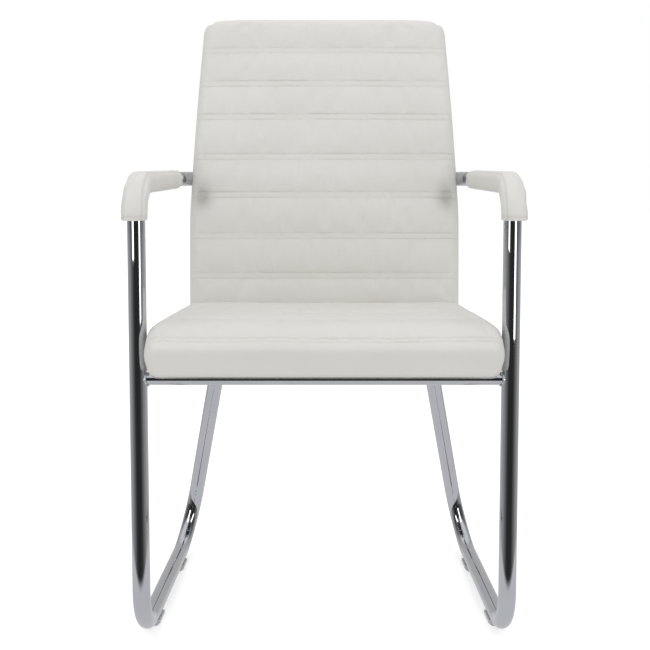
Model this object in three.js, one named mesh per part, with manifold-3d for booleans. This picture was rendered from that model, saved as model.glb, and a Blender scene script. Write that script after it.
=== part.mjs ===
// Sled base visitor chair with chrome tube side frames, padded arm sleeves and a channelled seat and back.
// Millimetres, +Z up. The front faces -Y, and the origin is the floor point under the middle of the chair.

import * as THREE from "three";
import { mergeVertices } from "three/addons/utils/BufferGeometryUtils.js";
import Module from "manifold-3d";

const wasm = await Module();
wasm.setup();

// Side frame tube
const TUBE_DIAMETER = 25;
const TUBE_WALL = 1.5;
const ARM_HEIGHT = 652;
const ARM_REAR_BEND = 40;
const ARM_FRONT_BEND = 45;
const ARM_END_REACH = 105;
const SLED_FRONT_BEND = 65;
const SLED_REAR_BEND = 70;
const SLED_DEPTH = 436;
const SLED_REAR_INSET = 13.5;
const REAR_LEG_TOP_INSET = 88;
const REAR_LEG_TOP_DEPTH = 270;

// Floor glides under the runners
const GLIDE_THICKNESS = 2.5;
const GLIDE_LENGTH = 38;
const GLIDE_WIDTH = 28;
const GLIDE_FOOT_WIDTH = 18;
const GLIDE_GRIP = 9;
const GLIDE_FRONT_PLACE = 84;
const GLIDE_REAR_PLACE = 300;

// Cross tubes
const CROSS_TUBE_DIAMETER = 16;
const CROSS_TUBE_WALL = 1.5;
const FRONT_CROSS_HEIGHT = 381;
const REAR_CROSS_DROP = 34;

// Seat, in a plane that slopes down to the rear from the top of the front cross tube
const SEAT_SLOPE_DEGREES = 3.5;
const SEAT_WIDTH = 481;
const SEAT_SIDE_GAP = 4.5;
const SEAT_FRONT_REACH = 50;
const SEAT_REAR_DEPTH = 417;
const SEAT_THICKNESS = 54;
const SEAT_RIM_LIFT = 3;
const SEAT_FRONT_DROP = 6;
const SEAT_DROP_REACH_SHARE = 0.36;
const SEAT_CROWN = 4;
const SEAT_PUFF = 3;
const SEAT_SEAM_PITCH = 117;
const SEAT_SEAM_COUNT = 4;
const SEAT_EDGE_RADIUS = 20;
const SEAT_FRONT_CORNER = 26;
const SEAT_REAR_CORNER = 12;
const SEAT_TOP_RADIUS = 16;
const SEAT_EDGE_SEAM_DEPTH = 2.5;
const SEAT_BOARD_THICKNESS = 12;
const SEAT_BOARD_MARGIN = 24;
const SEAT_BOARD_CORNER = 30;
const COVER_THICKNESS = 1;

// Plates and brackets of flat steel bar
const BAR_THICKNESS = 4;
const BAR_WIDTH = 40;
const FRONT_PLATE_INSET = 108.5;
const FRONT_PLATE_LENGTH = 74;
const FRONT_PLATE_OVERHANG = 12;
const REAR_PLATE_LENGTH = 96;
const BRACKET_INSET = 148.5;
const BRACKET_SEAT_LEG = 120;
const BRACKET_BACK_LEG = 110;
const BRACKET_BEND = 12;
const FRONT_PLATE_BOLT_SHARES = [0.5, 0.86];
const REAR_PLATE_BOLT_SHARES = [-0.33, 0.33];
const REAR_PLATE_END_SHARES = [-0.5, 0.5];
const BRACKET_SEAT_BOLT_SHARES = [0.2, 0.6];
const BRACKET_BACK_BOLT_SHARES = [0.4, 0.8];

// Back, along a curve that rises from the seat and leans away to the rear
const BACK_FOOT_DEPTH = 448;
const BACK_FOOT_HEIGHT = 387;
const BACK_TOP_DEPTH = 556;
const BACK_TOP_HEIGHT = 938;
const BACK_FOOT_LEAN_DEGREES = 1.5;
const BACK_TOP_LEAN_DEGREES = 19;
const BACK_FOOT_PULL_SHARE = 0.5;
const BACK_TOP_PULL_SHARE = 0.35;
const BACK_SIDE_INSET = 1;
const BACK_TOP_INSET = 19.5;
const BACK_TAPER_START_SHARE = 0.35;
const BACK_THICKNESS = 50;
const BACK_CROWN = 3;
const BACK_PUFF = 3;
const BACK_FIRST_SEAM = 94;
const BACK_SEAM_PITCH = 67.5;
const BACK_SEAM_COUNT = 7;
const BACK_EDGE_RADIUS = 18;
const BACK_TOP_CORNER = 28;
const BACK_FOOT_CORNER = 14;
const BACK_RIM_RADIUS = 12;
const BACK_BOARD_THICKNESS = 10;
const BACK_BOARD_MARGIN = 22;
const BACK_BOARD_CORNER = 24;
const ARM_CHANNEL_FIT = 1.2;
const REAR_PANEL_THICKNESS = 8;
const REAR_PANEL_MARGIN = 14;
const REAR_PANEL_CORNER = 26;

// Arm sleeves of padded leather over the arm tubes
const SLEEVE_PAD = 4.2;
const SLEEVE_CUFF_PAD = 5.4;
const SLEEVE_END_PAD = 2.6;
const SLEEVE_TOP_SHARE = 0.65;
const SLEEVE_LIP_SHARE = 0.5;
const SLEEVE_LIP = 3;
const SLEEVE_CUFF_LENGTH = 48;
const SLEEVE_END_DEPTH = 385;
const SLEEVE_END_SLANT = 16;

// Fasteners
const BOLT_DIAMETER = 6;
const BOLT_HEAD_DIAMETER = 12;
const BOLT_HEAD_HEIGHT = 3.5;
const BOLT_SOCKET_DIAMETER = 6;
const BOLT_SOCKET_DEPTH = 2;
const SEAT_BOLT_BITE = 9;
const BRACKET_BOLT_BITE = 5;
const ARM_BOLT_BITE = 6;
const ARM_BOLT_PITCH = 34;
const ARM_BOLT_EDGE = 16;

// Fits
const CLEARANCE = 0.3;
const OVERRUN = 2;

// Form of the padding between seams and at its edges
const PUFF_POWER = 4;
const PUFF_EDGE_POWER = 8;
const RIM_SHARE = 0.6;

// Facets
const TUBE_SIDES = 14;
const BORE_SIDES = 8;
const BEND_STEPS = 7;
const CHANNEL_BEND_STEPS = 4;
const BOLT_SIDES = 8;
const PUFF_SHARES = [0, 0.08, 0.28, 0.72, 0.92];
const STRIP_STEPS = 10;
const CORNER_STEPS = 4;
const EDGE_TURN_SHARES = [0, 0.35, 0.65, 1];
const MIDDLE_SHARES = [-0.7, 0, 0.7];
const HALVINGS = 40;

// Values worked out from the sizes above
const FULL_TURN = 2 * Math.PI;
const QUARTER_TURN = Math.PI / 2;
const TUBE_RADIUS = TUBE_DIAMETER / 2;
const CROSS_TUBE_RADIUS = CROSS_TUBE_DIAMETER / 2;
const BOLT_RADIUS = BOLT_DIAMETER / 2;
const RUNNER_HEIGHT = GLIDE_THICKNESS + TUBE_RADIUS;
const LEG_X = SEAT_WIDTH / 2 + SEAT_SIDE_GAP + TUBE_RADIUS;
const SLED_REAR_X = LEG_X - SLED_REAR_INSET;
const REAR_LEG_TOP_X = LEG_X - REAR_LEG_TOP_INSET;
const FRONT_PLATE_X = LEG_X - FRONT_PLATE_INSET;
const BRACKET_X = LEG_X - BRACKET_INSET;
const BACK_HALF_WIDTH = SEAT_WIDTH / 2 - BACK_SIDE_INSET;
const SEAT_SLOPE = THREE.MathUtils.degToRad(SEAT_SLOPE_DEGREES);
const SEAT_ORIGIN_HEIGHT = FRONT_CROSS_HEIGHT + CROSS_TUBE_RADIUS;
const BAR_TOP = CLEARANCE + BAR_THICKNESS;
const COVER_LOW = BAR_TOP + CLEARANCE;
const SEAT_BOARD_LOW = COVER_LOW + COVER_THICKNESS + CLEARANCE;
const SEAT_BOARD_TOP = SEAT_BOARD_LOW + SEAT_BOARD_THICKNESS;
const BACK_BOARD_REAR = -BACK_THICKNESS / 2 + CLEARANCE;
const BACK_BOARD_FRONT = BACK_BOARD_REAR + BACK_BOARD_THICKNESS;
const SIDES = { left: -1, right: 1 };

// Materials
const chrome = () => new THREE.MeshStandardMaterial({ color: 0xc9ccd2, roughness: 0.08, metalness: 1 });
const leather = () => new THREE.MeshStandardMaterial({ color: 0xe8e6e0, roughness: 0.5, metalness: 0 });
const plywood = () => new THREE.MeshStandardMaterial({ color: 0xc9a777, roughness: 0.7, metalness: 0 });
const blackSteel = () => new THREE.MeshStandardMaterial({ color: 0x26272a, roughness: 0.45, metalness: 0.6 });
const boltSteel = () => new THREE.MeshStandardMaterial({ color: 0x8d9094, roughness: 0.35, metalness: 0.9 });
const dustCloth = () => new THREE.MeshStandardMaterial({ color: 0x1e1e20, roughness: 0.95, metalness: 0 });
const clearPlastic = () => new THREE.MeshStandardMaterial({ color: 0xd7d9d9, roughness: 0.35, metalness: 0 });

// Route of straight runs whose corners are rounded by bends, with a station at each end of each run.
class BentRoute extends THREE.Curve {
  constructor(corners, bendSteps = BEND_STEPS) {
    super();
    const first = corners[0].point;
    const last = corners[corners.length - 1].point;
    this.stations = [{ point: first, tangent: corners[1].point.clone().sub(first).normalize() }];
    for (let i = 1; i < corners.length - 1; i += 1) {
      this.addBend(corners[i - 1].point, corners[i], corners[i + 1].point, bendSteps);
    }
    const before = corners[corners.length - 2].point;
    this.stations.push({ point: last, tangent: last.clone().sub(before).normalize() });
  }

  addBend(before, corner, after, bendSteps) {
    const into = corner.point.clone().sub(before).normalize();
    const out = after.clone().sub(corner.point).normalize();
    const turn = into.angleTo(out);
    const axis = into.clone().cross(out).normalize();
    const start = corner.point.clone().addScaledVector(into, -corner.bend * Math.tan(turn / 2));
    const centre = start.clone().addScaledVector(axis.clone().cross(into), corner.bend);
    for (let step = 0; step <= bendSteps; step += 1) {
      const angle = (turn * step) / bendSteps;
      const point = start.clone().sub(centre).applyAxisAngle(axis, angle).add(centre);
      this.stations.push({ point, tangent: into.clone().applyAxisAngle(axis, angle) });
    }
  }

  get steps() {
    return this.stations.length - 1;
  }

  getUtoTmapping(share) {
    return share;
  }

  getPoint(share, target = new THREE.Vector3()) {
    const place = THREE.MathUtils.clamp(share, 0, 1) * this.steps;
    const index = Math.min(Math.floor(place), this.steps - 1);
    const [from, to] = [this.stations[index], this.stations[index + 1]];
    return target.lerpVectors(from.point, to.point, place - index);
  }

  getTangent(share, target = new THREE.Vector3()) {
    const place = THREE.MathUtils.clamp(share, 0, 1) * this.steps;
    return target.copy(this.stations[Math.round(place)].tangent);
  }
}

// Solid and geometry exchange for cuts
function toSolid(geometry) {
  const bare = geometry.clone();
  bare.deleteAttribute("normal");
  bare.deleteAttribute("uv");
  const merged = mergeVertices(bare);
  const mesh = new wasm.Mesh({
    numProp: 3,
    vertProperties: merged.attributes.position.array,
    triVerts: new Uint32Array(merged.index.array),
  });
  return new wasm.Manifold(mesh);
}

function toGeometry(solid) {
  const mesh = solid.getMesh();
  const geometry = new THREE.BufferGeometry();
  geometry.setAttribute("position", new THREE.BufferAttribute(mesh.vertProperties, mesh.numProp));
  geometry.setIndex(new THREE.BufferAttribute(mesh.triVerts, 1));
  geometry.computeVertexNormals();
  return geometry;
}

function cut(geometry, tools) {
  const solid = tools.reduce((rest, tool) => rest.subtract(toSolid(tool)), toSolid(geometry));
  return toGeometry(solid);
}

// Section outlines
function roundSection(radius, boreRadius) {
  const section = new THREE.Shape().absarc(0, 0, radius, 0, FULL_TURN, false);
  if (boreRadius) {
    section.holes.push(new THREE.Path().absarc(0, 0, boreRadius, 0, FULL_TURN, true));
  }
  return section;
}

function barSection(width, thickness) {
  const [x, y] = [width / 2, thickness / 2];
  return new THREE.Shape([[-x, -y], [x, -y], [x, y], [-x, y]].map(([a, b]) => new THREE.Vector2(a, b)));
}

function alongRoute(section, route, sides = TUBE_SIDES) {
  return new THREE.ExtrudeGeometry(section, {
    steps: route.steps,
    curveSegments: sides / 2,
    extrudePath: route,
  });
}

function straightRoute(from, to) {
  return new BentRoute([{ point: from }, { point: to }]);
}

// Round tool whose flats clear a radius, for bores
function pinAlong(from, direction, radius, length) {
  const to = from.clone().addScaledVector(direction, length);
  const section = roundSection(radius / Math.cos(Math.PI / BORE_SIDES));
  return alongRoute(section, straightRoute(from, to), BORE_SIDES);
}

// Closed skin over rings of equal count, with an end face on each end unless the last ring joins the first
function loftSolid(rings, endFaces = null) {
  const count = rings[0].length;
  const faces = [];
  const bands = endFaces ? rings.length - 1 : rings.length;
  for (let band = 0; band < bands; band += 1) {
    const near = band * count;
    const far = ((band + 1) % rings.length) * count;
    for (let i = 0; i < count; i += 1) {
      const j = (i + 1) % count;
      faces.push(near + i, near + j, far + j, near + i, far + j, far + i);
    }
  }
  if (endFaces) {
    const lastStart = (rings.length - 1) * count;
    endFaces(rings[0]).forEach(([a, b, c]) => faces.push(c, b, a));
    endFaces(rings.at(-1)).forEach((face) => faces.push(...face.map((corner) => lastStart + corner)));
  }
  const geometry = new THREE.BufferGeometry();
  const places = rings.flat().flatMap((point) => point.toArray());
  geometry.setAttribute("position", new THREE.Float32BufferAttribute(places, 3));
  geometry.setIndex(faces);
  return facedOutwards(geometry);
}

// End face of any outline that lies in a side view
function outlineFaces(ring) {
  const outline = ring.map((point) => new THREE.Vector2(point.y, point.z));
  const ringTurn = Math.sign(THREE.ShapeUtils.area(outline));
  return THREE.ShapeUtils.triangulateShape(outline, []).map(([a, b, c]) => {
    const faceTurn = Math.sign(THREE.ShapeUtils.area([outline[a], outline[b], outline[c]]));
    return faceTurn === ringTurn ? [a, b, c] : [c, b, a];
  });
}

// End face of a strip whose second half of points runs back beside the first
function ladderFaces(ring) {
  const last = ring.length - 1;
  return Array.from({ length: (last - 1) / 2 }, (_, i) => [
    [i, i + 1, last - 1 - i],
    [i, last - 1 - i, last - i],
  ]).flat();
}

function facedOutwards(geometry) {
  const index = geometry.index.array;
  const corner = (i) => new THREE.Vector3().fromBufferAttribute(geometry.attributes.position, index[i]);
  let volume = 0;
  for (let i = 0; i < index.length; i += 3) {
    volume += corner(i).dot(corner(i + 1).cross(corner(i + 2)));
  }
  if (volume < 0) {
    index.reverse();
  }
  geometry.computeVertexNormals();
  return geometry;
}

// Place on a plane curve at a distance along it, moved off it towards the side that faces the sitter
function offCurve(curve, distance, offset) {
  const share = distance / curve.getLength();
  const tangent = curve.getTangentAt(THREE.MathUtils.clamp(share, 0, 1));
  const normal = new THREE.Vector2(-tangent.y, tangent.x);
  return curve.getPointAt(THREE.MathUtils.clamp(share, 0, 1)).addScaledVector(normal, offset);
}

// Places shared by all pieces that follow one curve, so that their faces stay parallel
function sharedPlaces(curve, from, to) {
  const length = curve.getLength();
  return Array.from({ length: STRIP_STEPS - 1 }, (_, i) => (length * (i + 1)) / STRIP_STEPS)
    .filter((distance) => distance > from && distance < to);
}

// How far a rounded corner of a given radius draws an edge back, a distance in from the side
function cornerDraw(radius, fromSide) {
  const reach = Math.max(radius - fromSide, 0);
  return radius - Math.sqrt(radius ** 2 - reach ** 2);
}

// Flat or curved board: a strip along a plane curve, swept across the width with rounded corners
function boardGeometry({ curve, low, high, start, end, halfWidth, corner }) {
  const nearSides = [];
  for (let step = 0; step <= CORNER_STEPS; step += 1) {
    nearSides.push(corner * (1 - Math.sin((QUARTER_TURN * step) / CORNER_STEPS)));
  }
  const stations = [
    ...nearSides.map((fromSide) => ({ side: -1, fromSide })).reverse(),
    ...nearSides.map((fromSide) => ({ side: 1, fromSide })),
  ];
  const rings = stations.map(({ side, fromSide }) => {
    const draw = cornerDraw(corner, fromSide);
    const places = [start + draw, ...sharedPlaces(curve, start + corner, end - corner), end - draw];
    const place = (distance, offset) => {
      const { x, y } = offCurve(curve, distance, offset);
      return new THREE.Vector3(side * (halfWidth(distance) - fromSide), x, y);
    };
    return [
      ...places.map((distance) => place(distance, high)),
      ...places.reverse().map((distance) => place(distance, low)),
    ];
  });
  return loftSolid(rings, ladderFaces);
}

// Padded cushion: a band along a plane curve with crowned channels on its face and rounded edges all round
function cushionGeometry(pad) {
  const length = pad.curve.getLength();
  const edge = EDGE_TURN_SHARES.map((turn) => pad.cornerRadius * (1 - Math.sin(QUARTER_TURN * turn)));
  const stations = [
    ...edge.map((fromSide) => ({ side: -1, fromSide })).reverse(),
    ...MIDDLE_SHARES.map((share) => ({ share })),
    ...edge.map((fromSide) => ({ side: 1, fromSide })),
  ];
  const rings = stations.map((station) => cushionRing(pad, length, station));
  return loftSolid(rings, outlineFaces);
}

function cushionRing(pad, length, station) {
  const across = (distance) => {
    const half = pad.halfWidth(distance);
    if (station.side) return station.side * (half - station.fromSide);
    return station.share * (half - pad.cornerRadius);
  };
  const fromSide = station.side ? station.fromSide : pad.cornerRadius;
  const share = across(length / 2) / pad.halfWidth(length / 2);
  const thin = cornerDraw(pad.edgeRadius, Math.min(fromSide, pad.edgeRadius));
  const start = cornerDraw(pad.startCorner, Math.min(fromSide, pad.startCorner));
  const end = length - cornerDraw(pad.endCorner, Math.min(fromSide, pad.endCorner));
  const half = pad.thickness / 2 - thin;
  const rim = Math.min(pad.rimRadius, half * RIM_SHARE);
  const crown = pad.crown * (1 - share ** 2);
  const edgeFade = 1 - share ** PUFF_EDGE_POWER;
  const points = [];
  const add = (distance, offset) => {
    const { x, y } = offCurve(pad.curve, distance, offset);
    points.push(new THREE.Vector3(across(distance), x, y));
  };
  const addCorner = (centre, direction, face, from, groove) => {
    for (let step = 0; step <= CORNER_STEPS; step += 1) {
      const angle = QUARTER_TURN * (from + ((1 - 2 * from) * step) / CORNER_STEPS);
      const reach = rim - (step === CORNER_STEPS / 2 ? groove : 0);
      const lift = face * (half - rim + reach * Math.cos(angle));
      add(centre + direction * reach * Math.sin(angle), lift + (face > 0 ? crown * Math.cos(angle) : 0));
    }
  };
  addCorner(start + rim, -1, 1, 1, pad.startSeamDepth * edgeFade);
  const bounds = [start + rim, ...pad.seams.filter((seam) => seam < end - rim), end - rim];
  bounds.slice(0, -1).forEach((from, channel) => {
    const to = bounds[channel + 1];
    PUFF_SHARES.filter((u) => channel > 0 || u > 0).forEach((u) => {
      add(from + (to - from) * u, half + crown + pad.puff * edgeFade * (1 - (2 * u - 1) ** PUFF_POWER));
    });
  });
  addCorner(end - rim, 1, 1, 0, 0);
  addCorner(end - rim, 1, -1, 1, 0);
  sharedPlaces(pad.curve, pad.startCorner + pad.rimRadius, length - pad.endCorner - pad.rimRadius)
    .reverse()
    .forEach((distance) => add(distance, -half));
  addCorner(start + rim, -1, -1, 0, 0);
  return points;
}

// The seat's plane, as places in the side view
const seatPlace = (y, h) => new THREE.Vector2(
  y * Math.cos(SEAT_SLOPE) + h * Math.sin(SEAT_SLOPE),
  SEAT_ORIGIN_HEIGHT - y * Math.sin(SEAT_SLOPE) + h * Math.cos(SEAT_SLOPE),
);

// The back's middle curve in the side view, from its foot to its top
function leaning(degrees, length) {
  const angle = THREE.MathUtils.degToRad(degrees);
  return new THREE.Vector2(length * Math.sin(angle), length * Math.cos(angle));
}

const backFoot = new THREE.Vector2(BACK_FOOT_DEPTH, BACK_FOOT_HEIGHT);
const backTop = new THREE.Vector2(BACK_TOP_DEPTH, BACK_TOP_HEIGHT);
const backChord = backFoot.distanceTo(backTop);
const backCurve = new THREE.CubicBezierCurve(
  backFoot,
  backFoot.clone().add(leaning(BACK_FOOT_LEAN_DEGREES, backChord * BACK_FOOT_PULL_SHARE)),
  backTop.clone().sub(leaning(BACK_TOP_LEAN_DEGREES, backChord * BACK_TOP_PULL_SHARE)),
  backTop,
);
const backLength = backCurve.getLength();

function backHalfWidth(distance) {
  const taperStart = backLength * BACK_TAPER_START_SHARE;
  const share = THREE.MathUtils.clamp((distance - taperStart) / (backLength - taperStart), 0, 1);
  return BACK_HALF_WIDTH - BACK_TOP_INSET * share;
}

// Distance along the back's curve at which a line offset from it reaches a height
function backDistanceAt(height, offset) {
  let [low, high] = [0, backLength];
  for (let halving = 0; halving < HALVINGS; halving += 1) {
    const middle = (low + high) / 2;
    [low, high] = offCurve(backCurve, middle, offset).y < height ? [middle, high] : [low, middle];
  }
  return low;
}

function backNormal(distance) {
  const face = offCurve(backCurve, distance, 1).sub(offCurve(backCurve, distance, 0));
  return new THREE.Vector3(0, face.x, face.y);
}

// The arm tube runs in the foam, just in front of the back board
const armOffset = BACK_BOARD_FRONT + CLEARANCE + TUBE_RADIUS;
const armDistance = backDistanceAt(ARM_HEIGHT, armOffset);
const armRearDepth = offCurve(backCurve, armDistance, armOffset).x;

// Side frames
const rearLegTop = seatPlace(REAR_LEG_TOP_DEPTH, 0);

function frameRoute(side) {
  const at = (x, y, z) => new THREE.Vector3(side * x, y, z);
  const rearCorner = at(SLED_REAR_X, SLED_DEPTH, RUNNER_HEIGHT);
  const legTop = at(REAR_LEG_TOP_X, rearLegTop.x, rearLegTop.y);
  const overTop = legTop.clone().lerp(rearCorner, -TUBE_DIAMETER / legTop.distanceTo(rearCorner));
  return new BentRoute([
    { point: at(LEG_X - ARM_END_REACH, armRearDepth, ARM_HEIGHT) },
    { point: at(LEG_X, armRearDepth, ARM_HEIGHT), bend: ARM_REAR_BEND },
    { point: at(LEG_X, 0, ARM_HEIGHT), bend: ARM_FRONT_BEND },
    { point: at(LEG_X, 0, RUNNER_HEIGHT), bend: SLED_FRONT_BEND },
    { point: rearCorner, bend: SLED_REAR_BEND },
    { point: overTop },
  ]);
}

// Solid form of a side frame with a fit around it, to cut what meets it
function frameEnvelope(side) {
  return alongRoute(roundSection(TUBE_RADIUS + CLEARANCE), frameRoute(side));
}

// Slab above the seat's underside plane that trims the tops of the rear legs
function seatPlaneTrim() {
  const size = LEG_X * 2;
  const trim = new THREE.BoxGeometry(size, size, TUBE_DIAMETER * 2);
  trim.translate(0, size / 2, TUBE_DIAMETER);
  trim.rotateX(-SEAT_SLOPE);
  return trim.translate(0, 0, SEAT_ORIGIN_HEIGHT);
}

function armBoltPlaces(side) {
  const outer = LEG_X - ARM_END_REACH + ARM_BOLT_EDGE;
  return [outer, outer + ARM_BOLT_PITCH].map((x) => side * x);
}

function sideFrame(side) {
  const tube = alongRoute(roundSection(TUBE_RADIUS, TUBE_RADIUS - TUBE_WALL), frameRoute(side));
  const inward = backNormal(armDistance);
  const holes = armBoltPlaces(side).map((x) => {
    const rear = new THREE.Vector3(x, armRearDepth, ARM_HEIGHT).addScaledVector(inward, -TUBE_DIAMETER);
    return pinAlong(rear, inward, BOLT_RADIUS + CLEARANCE, TUBE_DIAMETER);
  });
  return cut(tube, [seatPlaneTrim(), ...holes]);
}

// Clip-on glide: a flat foot whose cheeks hold the underside of the runner
function glide() {
  const boreRadius = TUBE_RADIUS + CLEARANCE;
  const centre = GLIDE_THICKNESS + TUBE_RADIUS;
  const [half, halfFoot] = [GLIDE_WIDTH / 2, GLIDE_FOOT_WIDTH / 2];
  const cheek = Math.acos((centre - GLIDE_GRIP) / boreRadius);
  const outline = new THREE.Shape();
  outline.moveTo(-halfFoot, 0);
  outline.lineTo(halfFoot, 0);
  outline.lineTo(half, GLIDE_GRIP / 2);
  outline.lineTo(half, GLIDE_GRIP);
  outline.absarc(0, centre, boreRadius, -QUARTER_TURN + cheek, -QUARTER_TURN - cheek, true);
  outline.lineTo(-half, GLIDE_GRIP);
  outline.lineTo(-half, GLIDE_GRIP / 2);
  const block = new THREE.ExtrudeGeometry(outline, {
    depth: GLIDE_LENGTH,
    bevelEnabled: false,
    curveSegments: TUBE_SIDES / 2,
  });
  return block.translate(0, 0, -GLIDE_LENGTH / 2).rotateX(QUARTER_TURN);
}

// Cross tubes with ends coped to the side frames
function crossTube(reach, depth, height) {
  const [left, right] = [-1, 1].map((side) => new THREE.Vector3(side * reach, depth, height));
  const section = roundSection(CROSS_TUBE_RADIUS, CROSS_TUBE_RADIUS - CROSS_TUBE_WALL);
  const tube = alongRoute(section, straightRoute(left, right));
  return cut(tube, Object.values(SIDES).map(frameEnvelope));
}

function rearCrossTube() {
  const foot = new THREE.Vector3(SLED_REAR_X, SLED_DEPTH, RUNNER_HEIGHT);
  const top = new THREE.Vector3(REAR_LEG_TOP_X, rearLegTop.x, rearLegTop.y);
  const centre = top.clone().lerp(foot, REAR_CROSS_DROP / (top.z - foot.z));
  return crossTube(centre.x, centre.y, centre.z);
}

// Seat hardware, in the seat's own plane
const plateBore = BOLT_RADIUS + CLEARANCE;
const frontPlateBolts = FRONT_PLATE_BOLT_SHARES
  .map((share) => share * FRONT_PLATE_LENGTH - FRONT_PLATE_OVERHANG);
const rearPlateBolts = REAR_PLATE_BOLT_SHARES
  .map((share) => REAR_LEG_TOP_DEPTH + share * REAR_PLATE_LENGTH);
const bracketSeatBolts = BRACKET_SEAT_BOLT_SHARES
  .map((share) => SEAT_REAR_DEPTH - BRACKET_SEAT_LEG * (1 - share));
const bracketBackBolts = BRACKET_BACK_BOLT_SHARES.map((share) => share * BRACKET_BACK_LEG);
const seatBoltRows = {
  front: { x: FRONT_PLATE_X, places: frontPlateBolts },
  rear: { x: REAR_LEG_TOP_X, places: rearPlateBolts },
  bracket: { x: BRACKET_X, places: bracketSeatBolts },
};

const UP = new THREE.Vector3(0, 0, 1);

function seatBores(radius, low, high, rows = Object.values(seatBoltRows), sides = Object.values(SIDES)) {
  return rows.flatMap(({ x, places }) => places.flatMap((y) => sides.map((side) => {
    return pinAlong(new THREE.Vector3(side * x, y, low), UP, radius, high - low);
  })));
}

function flatPlate(row, from, to, side) {
  const plate = new THREE.BoxGeometry(BAR_WIDTH, to - from, BAR_THICKNESS);
  plate.translate(side * row.x, (from + to) / 2, CLEARANCE + BAR_THICKNESS / 2);
  return cut(plate, seatBores(plateBore, 0, BAR_TOP + OVERRUN, [row], [side]));
}

function seatCurve(height) {
  return new THREE.LineCurve(
    new THREE.Vector2(-SEAT_FRONT_REACH, height),
    new THREE.Vector2(SEAT_REAR_DEPTH, height),
  );
}

function seatSheet(low, high, spread = 0) {
  return boardGeometry({
    curve: seatCurve(0),
    low,
    high,
    start: SEAT_BOARD_MARGIN - spread,
    end: SEAT_FRONT_REACH + SEAT_REAR_DEPTH - SEAT_BOARD_MARGIN + spread,
    halfWidth: () => SEAT_WIDTH / 2 - SEAT_BOARD_MARGIN + spread,
    corner: SEAT_BOARD_CORNER,
  });
}

function seatBoard() {
  return cut(
    seatSheet(SEAT_BOARD_LOW, SEAT_BOARD_TOP),
    seatBores(plateBore, SEAT_BOARD_LOW - OVERRUN, COVER_LOW + SEAT_BOLT_BITE + OVERRUN),
  );
}

function seatCover() {
  return cut(
    seatSheet(COVER_LOW, COVER_LOW + COVER_THICKNESS),
    seatBores(plateBore, COVER_LOW - OVERRUN, SEAT_BOARD_LOW),
  );
}

function seatCushion() {
  const middle = SEAT_RIM_LIFT + SEAT_THICKNESS / 2;
  const length = SEAT_FRONT_REACH + SEAT_REAR_DEPTH;
  const curve = new THREE.CubicBezierCurve(
    new THREE.Vector2(-SEAT_FRONT_REACH, middle - SEAT_FRONT_DROP),
    new THREE.Vector2(-SEAT_FRONT_REACH * (1 - SEAT_DROP_REACH_SHARE), middle),
    new THREE.Vector2(SEAT_REAR_DEPTH * SEAT_DROP_REACH_SHARE, middle),
    new THREE.Vector2(SEAT_REAR_DEPTH, middle),
  );
  const cushion = cushionGeometry({
    curve,
    thickness: SEAT_THICKNESS,
    halfWidth: () => SEAT_WIDTH / 2,
    crown: SEAT_CROWN,
    puff: SEAT_PUFF,
    seams: Array.from({ length: SEAT_SEAM_COUNT - 1 }, (_, i) => (i + 1) * SEAT_SEAM_PITCH)
      .filter((seam) => seam < length - SEAT_TOP_RADIUS),
    edgeRadius: SEAT_EDGE_RADIUS,
    cornerRadius: SEAT_FRONT_CORNER,
    startCorner: SEAT_FRONT_CORNER,
    endCorner: SEAT_REAR_CORNER,
    rimRadius: SEAT_TOP_RADIUS,
    startSeamDepth: SEAT_EDGE_SEAM_DEPTH,
  });
  const pocket = seatSheet(-SEAT_FRONT_DROP - OVERRUN, SEAT_BOARD_TOP + CLEARANCE, CLEARANCE);
  const brackets = Object.values(SIDES).map((side) => intoSeatPlane(bracketBar(side, CLEARANCE)));
  return cut(cushion, [pocket, ...brackets]);
}

function intoSeatPlane(geometry) {
  return geometry.translate(0, 0, -SEAT_ORIGIN_HEIGHT).rotateX(SEAT_SLOPE);
}

// Angle bracket bent from flat bar, from under the seat board up the front face of the back board
function bracketBar(side, fit = 0) {
  const middle = CLEARANCE + BAR_THICKNESS / 2;
  const front = seatPlace(SEAT_REAR_DEPTH - BRACKET_SEAT_LEG - fit, middle);
  const rear = seatPlace(SEAT_REAR_DEPTH, middle);
  const touch = offCurve(backCurve, BRACKET_BACK_LEG / 2, BACK_BOARD_FRONT + CLEARANCE + BAR_THICKNESS / 2);
  const upwards = backCurve.getTangentAt(BRACKET_BACK_LEG / 2 / backLength);
  const rise = (rear.y - front.y) / (rear.x - front.x);
  const lean = upwards.x / upwards.y;
  const cornerDepth = (touch.x + lean * (front.y - rise * front.x - touch.y)) / (1 - lean * rise);
  const corner = new THREE.Vector2(cornerDepth, front.y + rise * (cornerDepth - front.x));
  const top = touch.clone().addScaledVector(upwards, BRACKET_BACK_LEG / 2 + fit);
  const at = (place) => new THREE.Vector3(side * BRACKET_X, place.x, place.y);
  const route = new BentRoute([
    { point: at(front) },
    { point: at(corner), bend: BRACKET_BEND },
    { point: at(top) },
  ]);
  return alongRoute(barSection(BAR_WIDTH + 2 * fit, BAR_THICKNESS + 2 * fit), route);
}

function bracket(side) {
  const seatHoles = seatBores(plateBore, 0, BAR_TOP + OVERRUN, [seatBoltRows.bracket], [side])
    .map((bore) => bore.rotateX(-SEAT_SLOPE).translate(0, 0, SEAT_ORIGIN_HEIGHT));
  const hole = BOLT_RADIUS + CLEARANCE;
  const backHoles = backBores([side * BRACKET_X], bracketBackBolts, hole, bracketBoltReach + OVERRUN);
  return cut(bracketBar(side), [...seatHoles, ...backHoles]);
}

// Bores square to the back board's face, from behind it
const armBoltReach = BACK_BOARD_FRONT + CLEARANCE + TUBE_WALL + ARM_BOLT_BITE;
const bracketBoltReach = BACK_BOARD_FRONT + CLEARANCE + BRACKET_BOLT_BITE;

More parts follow.
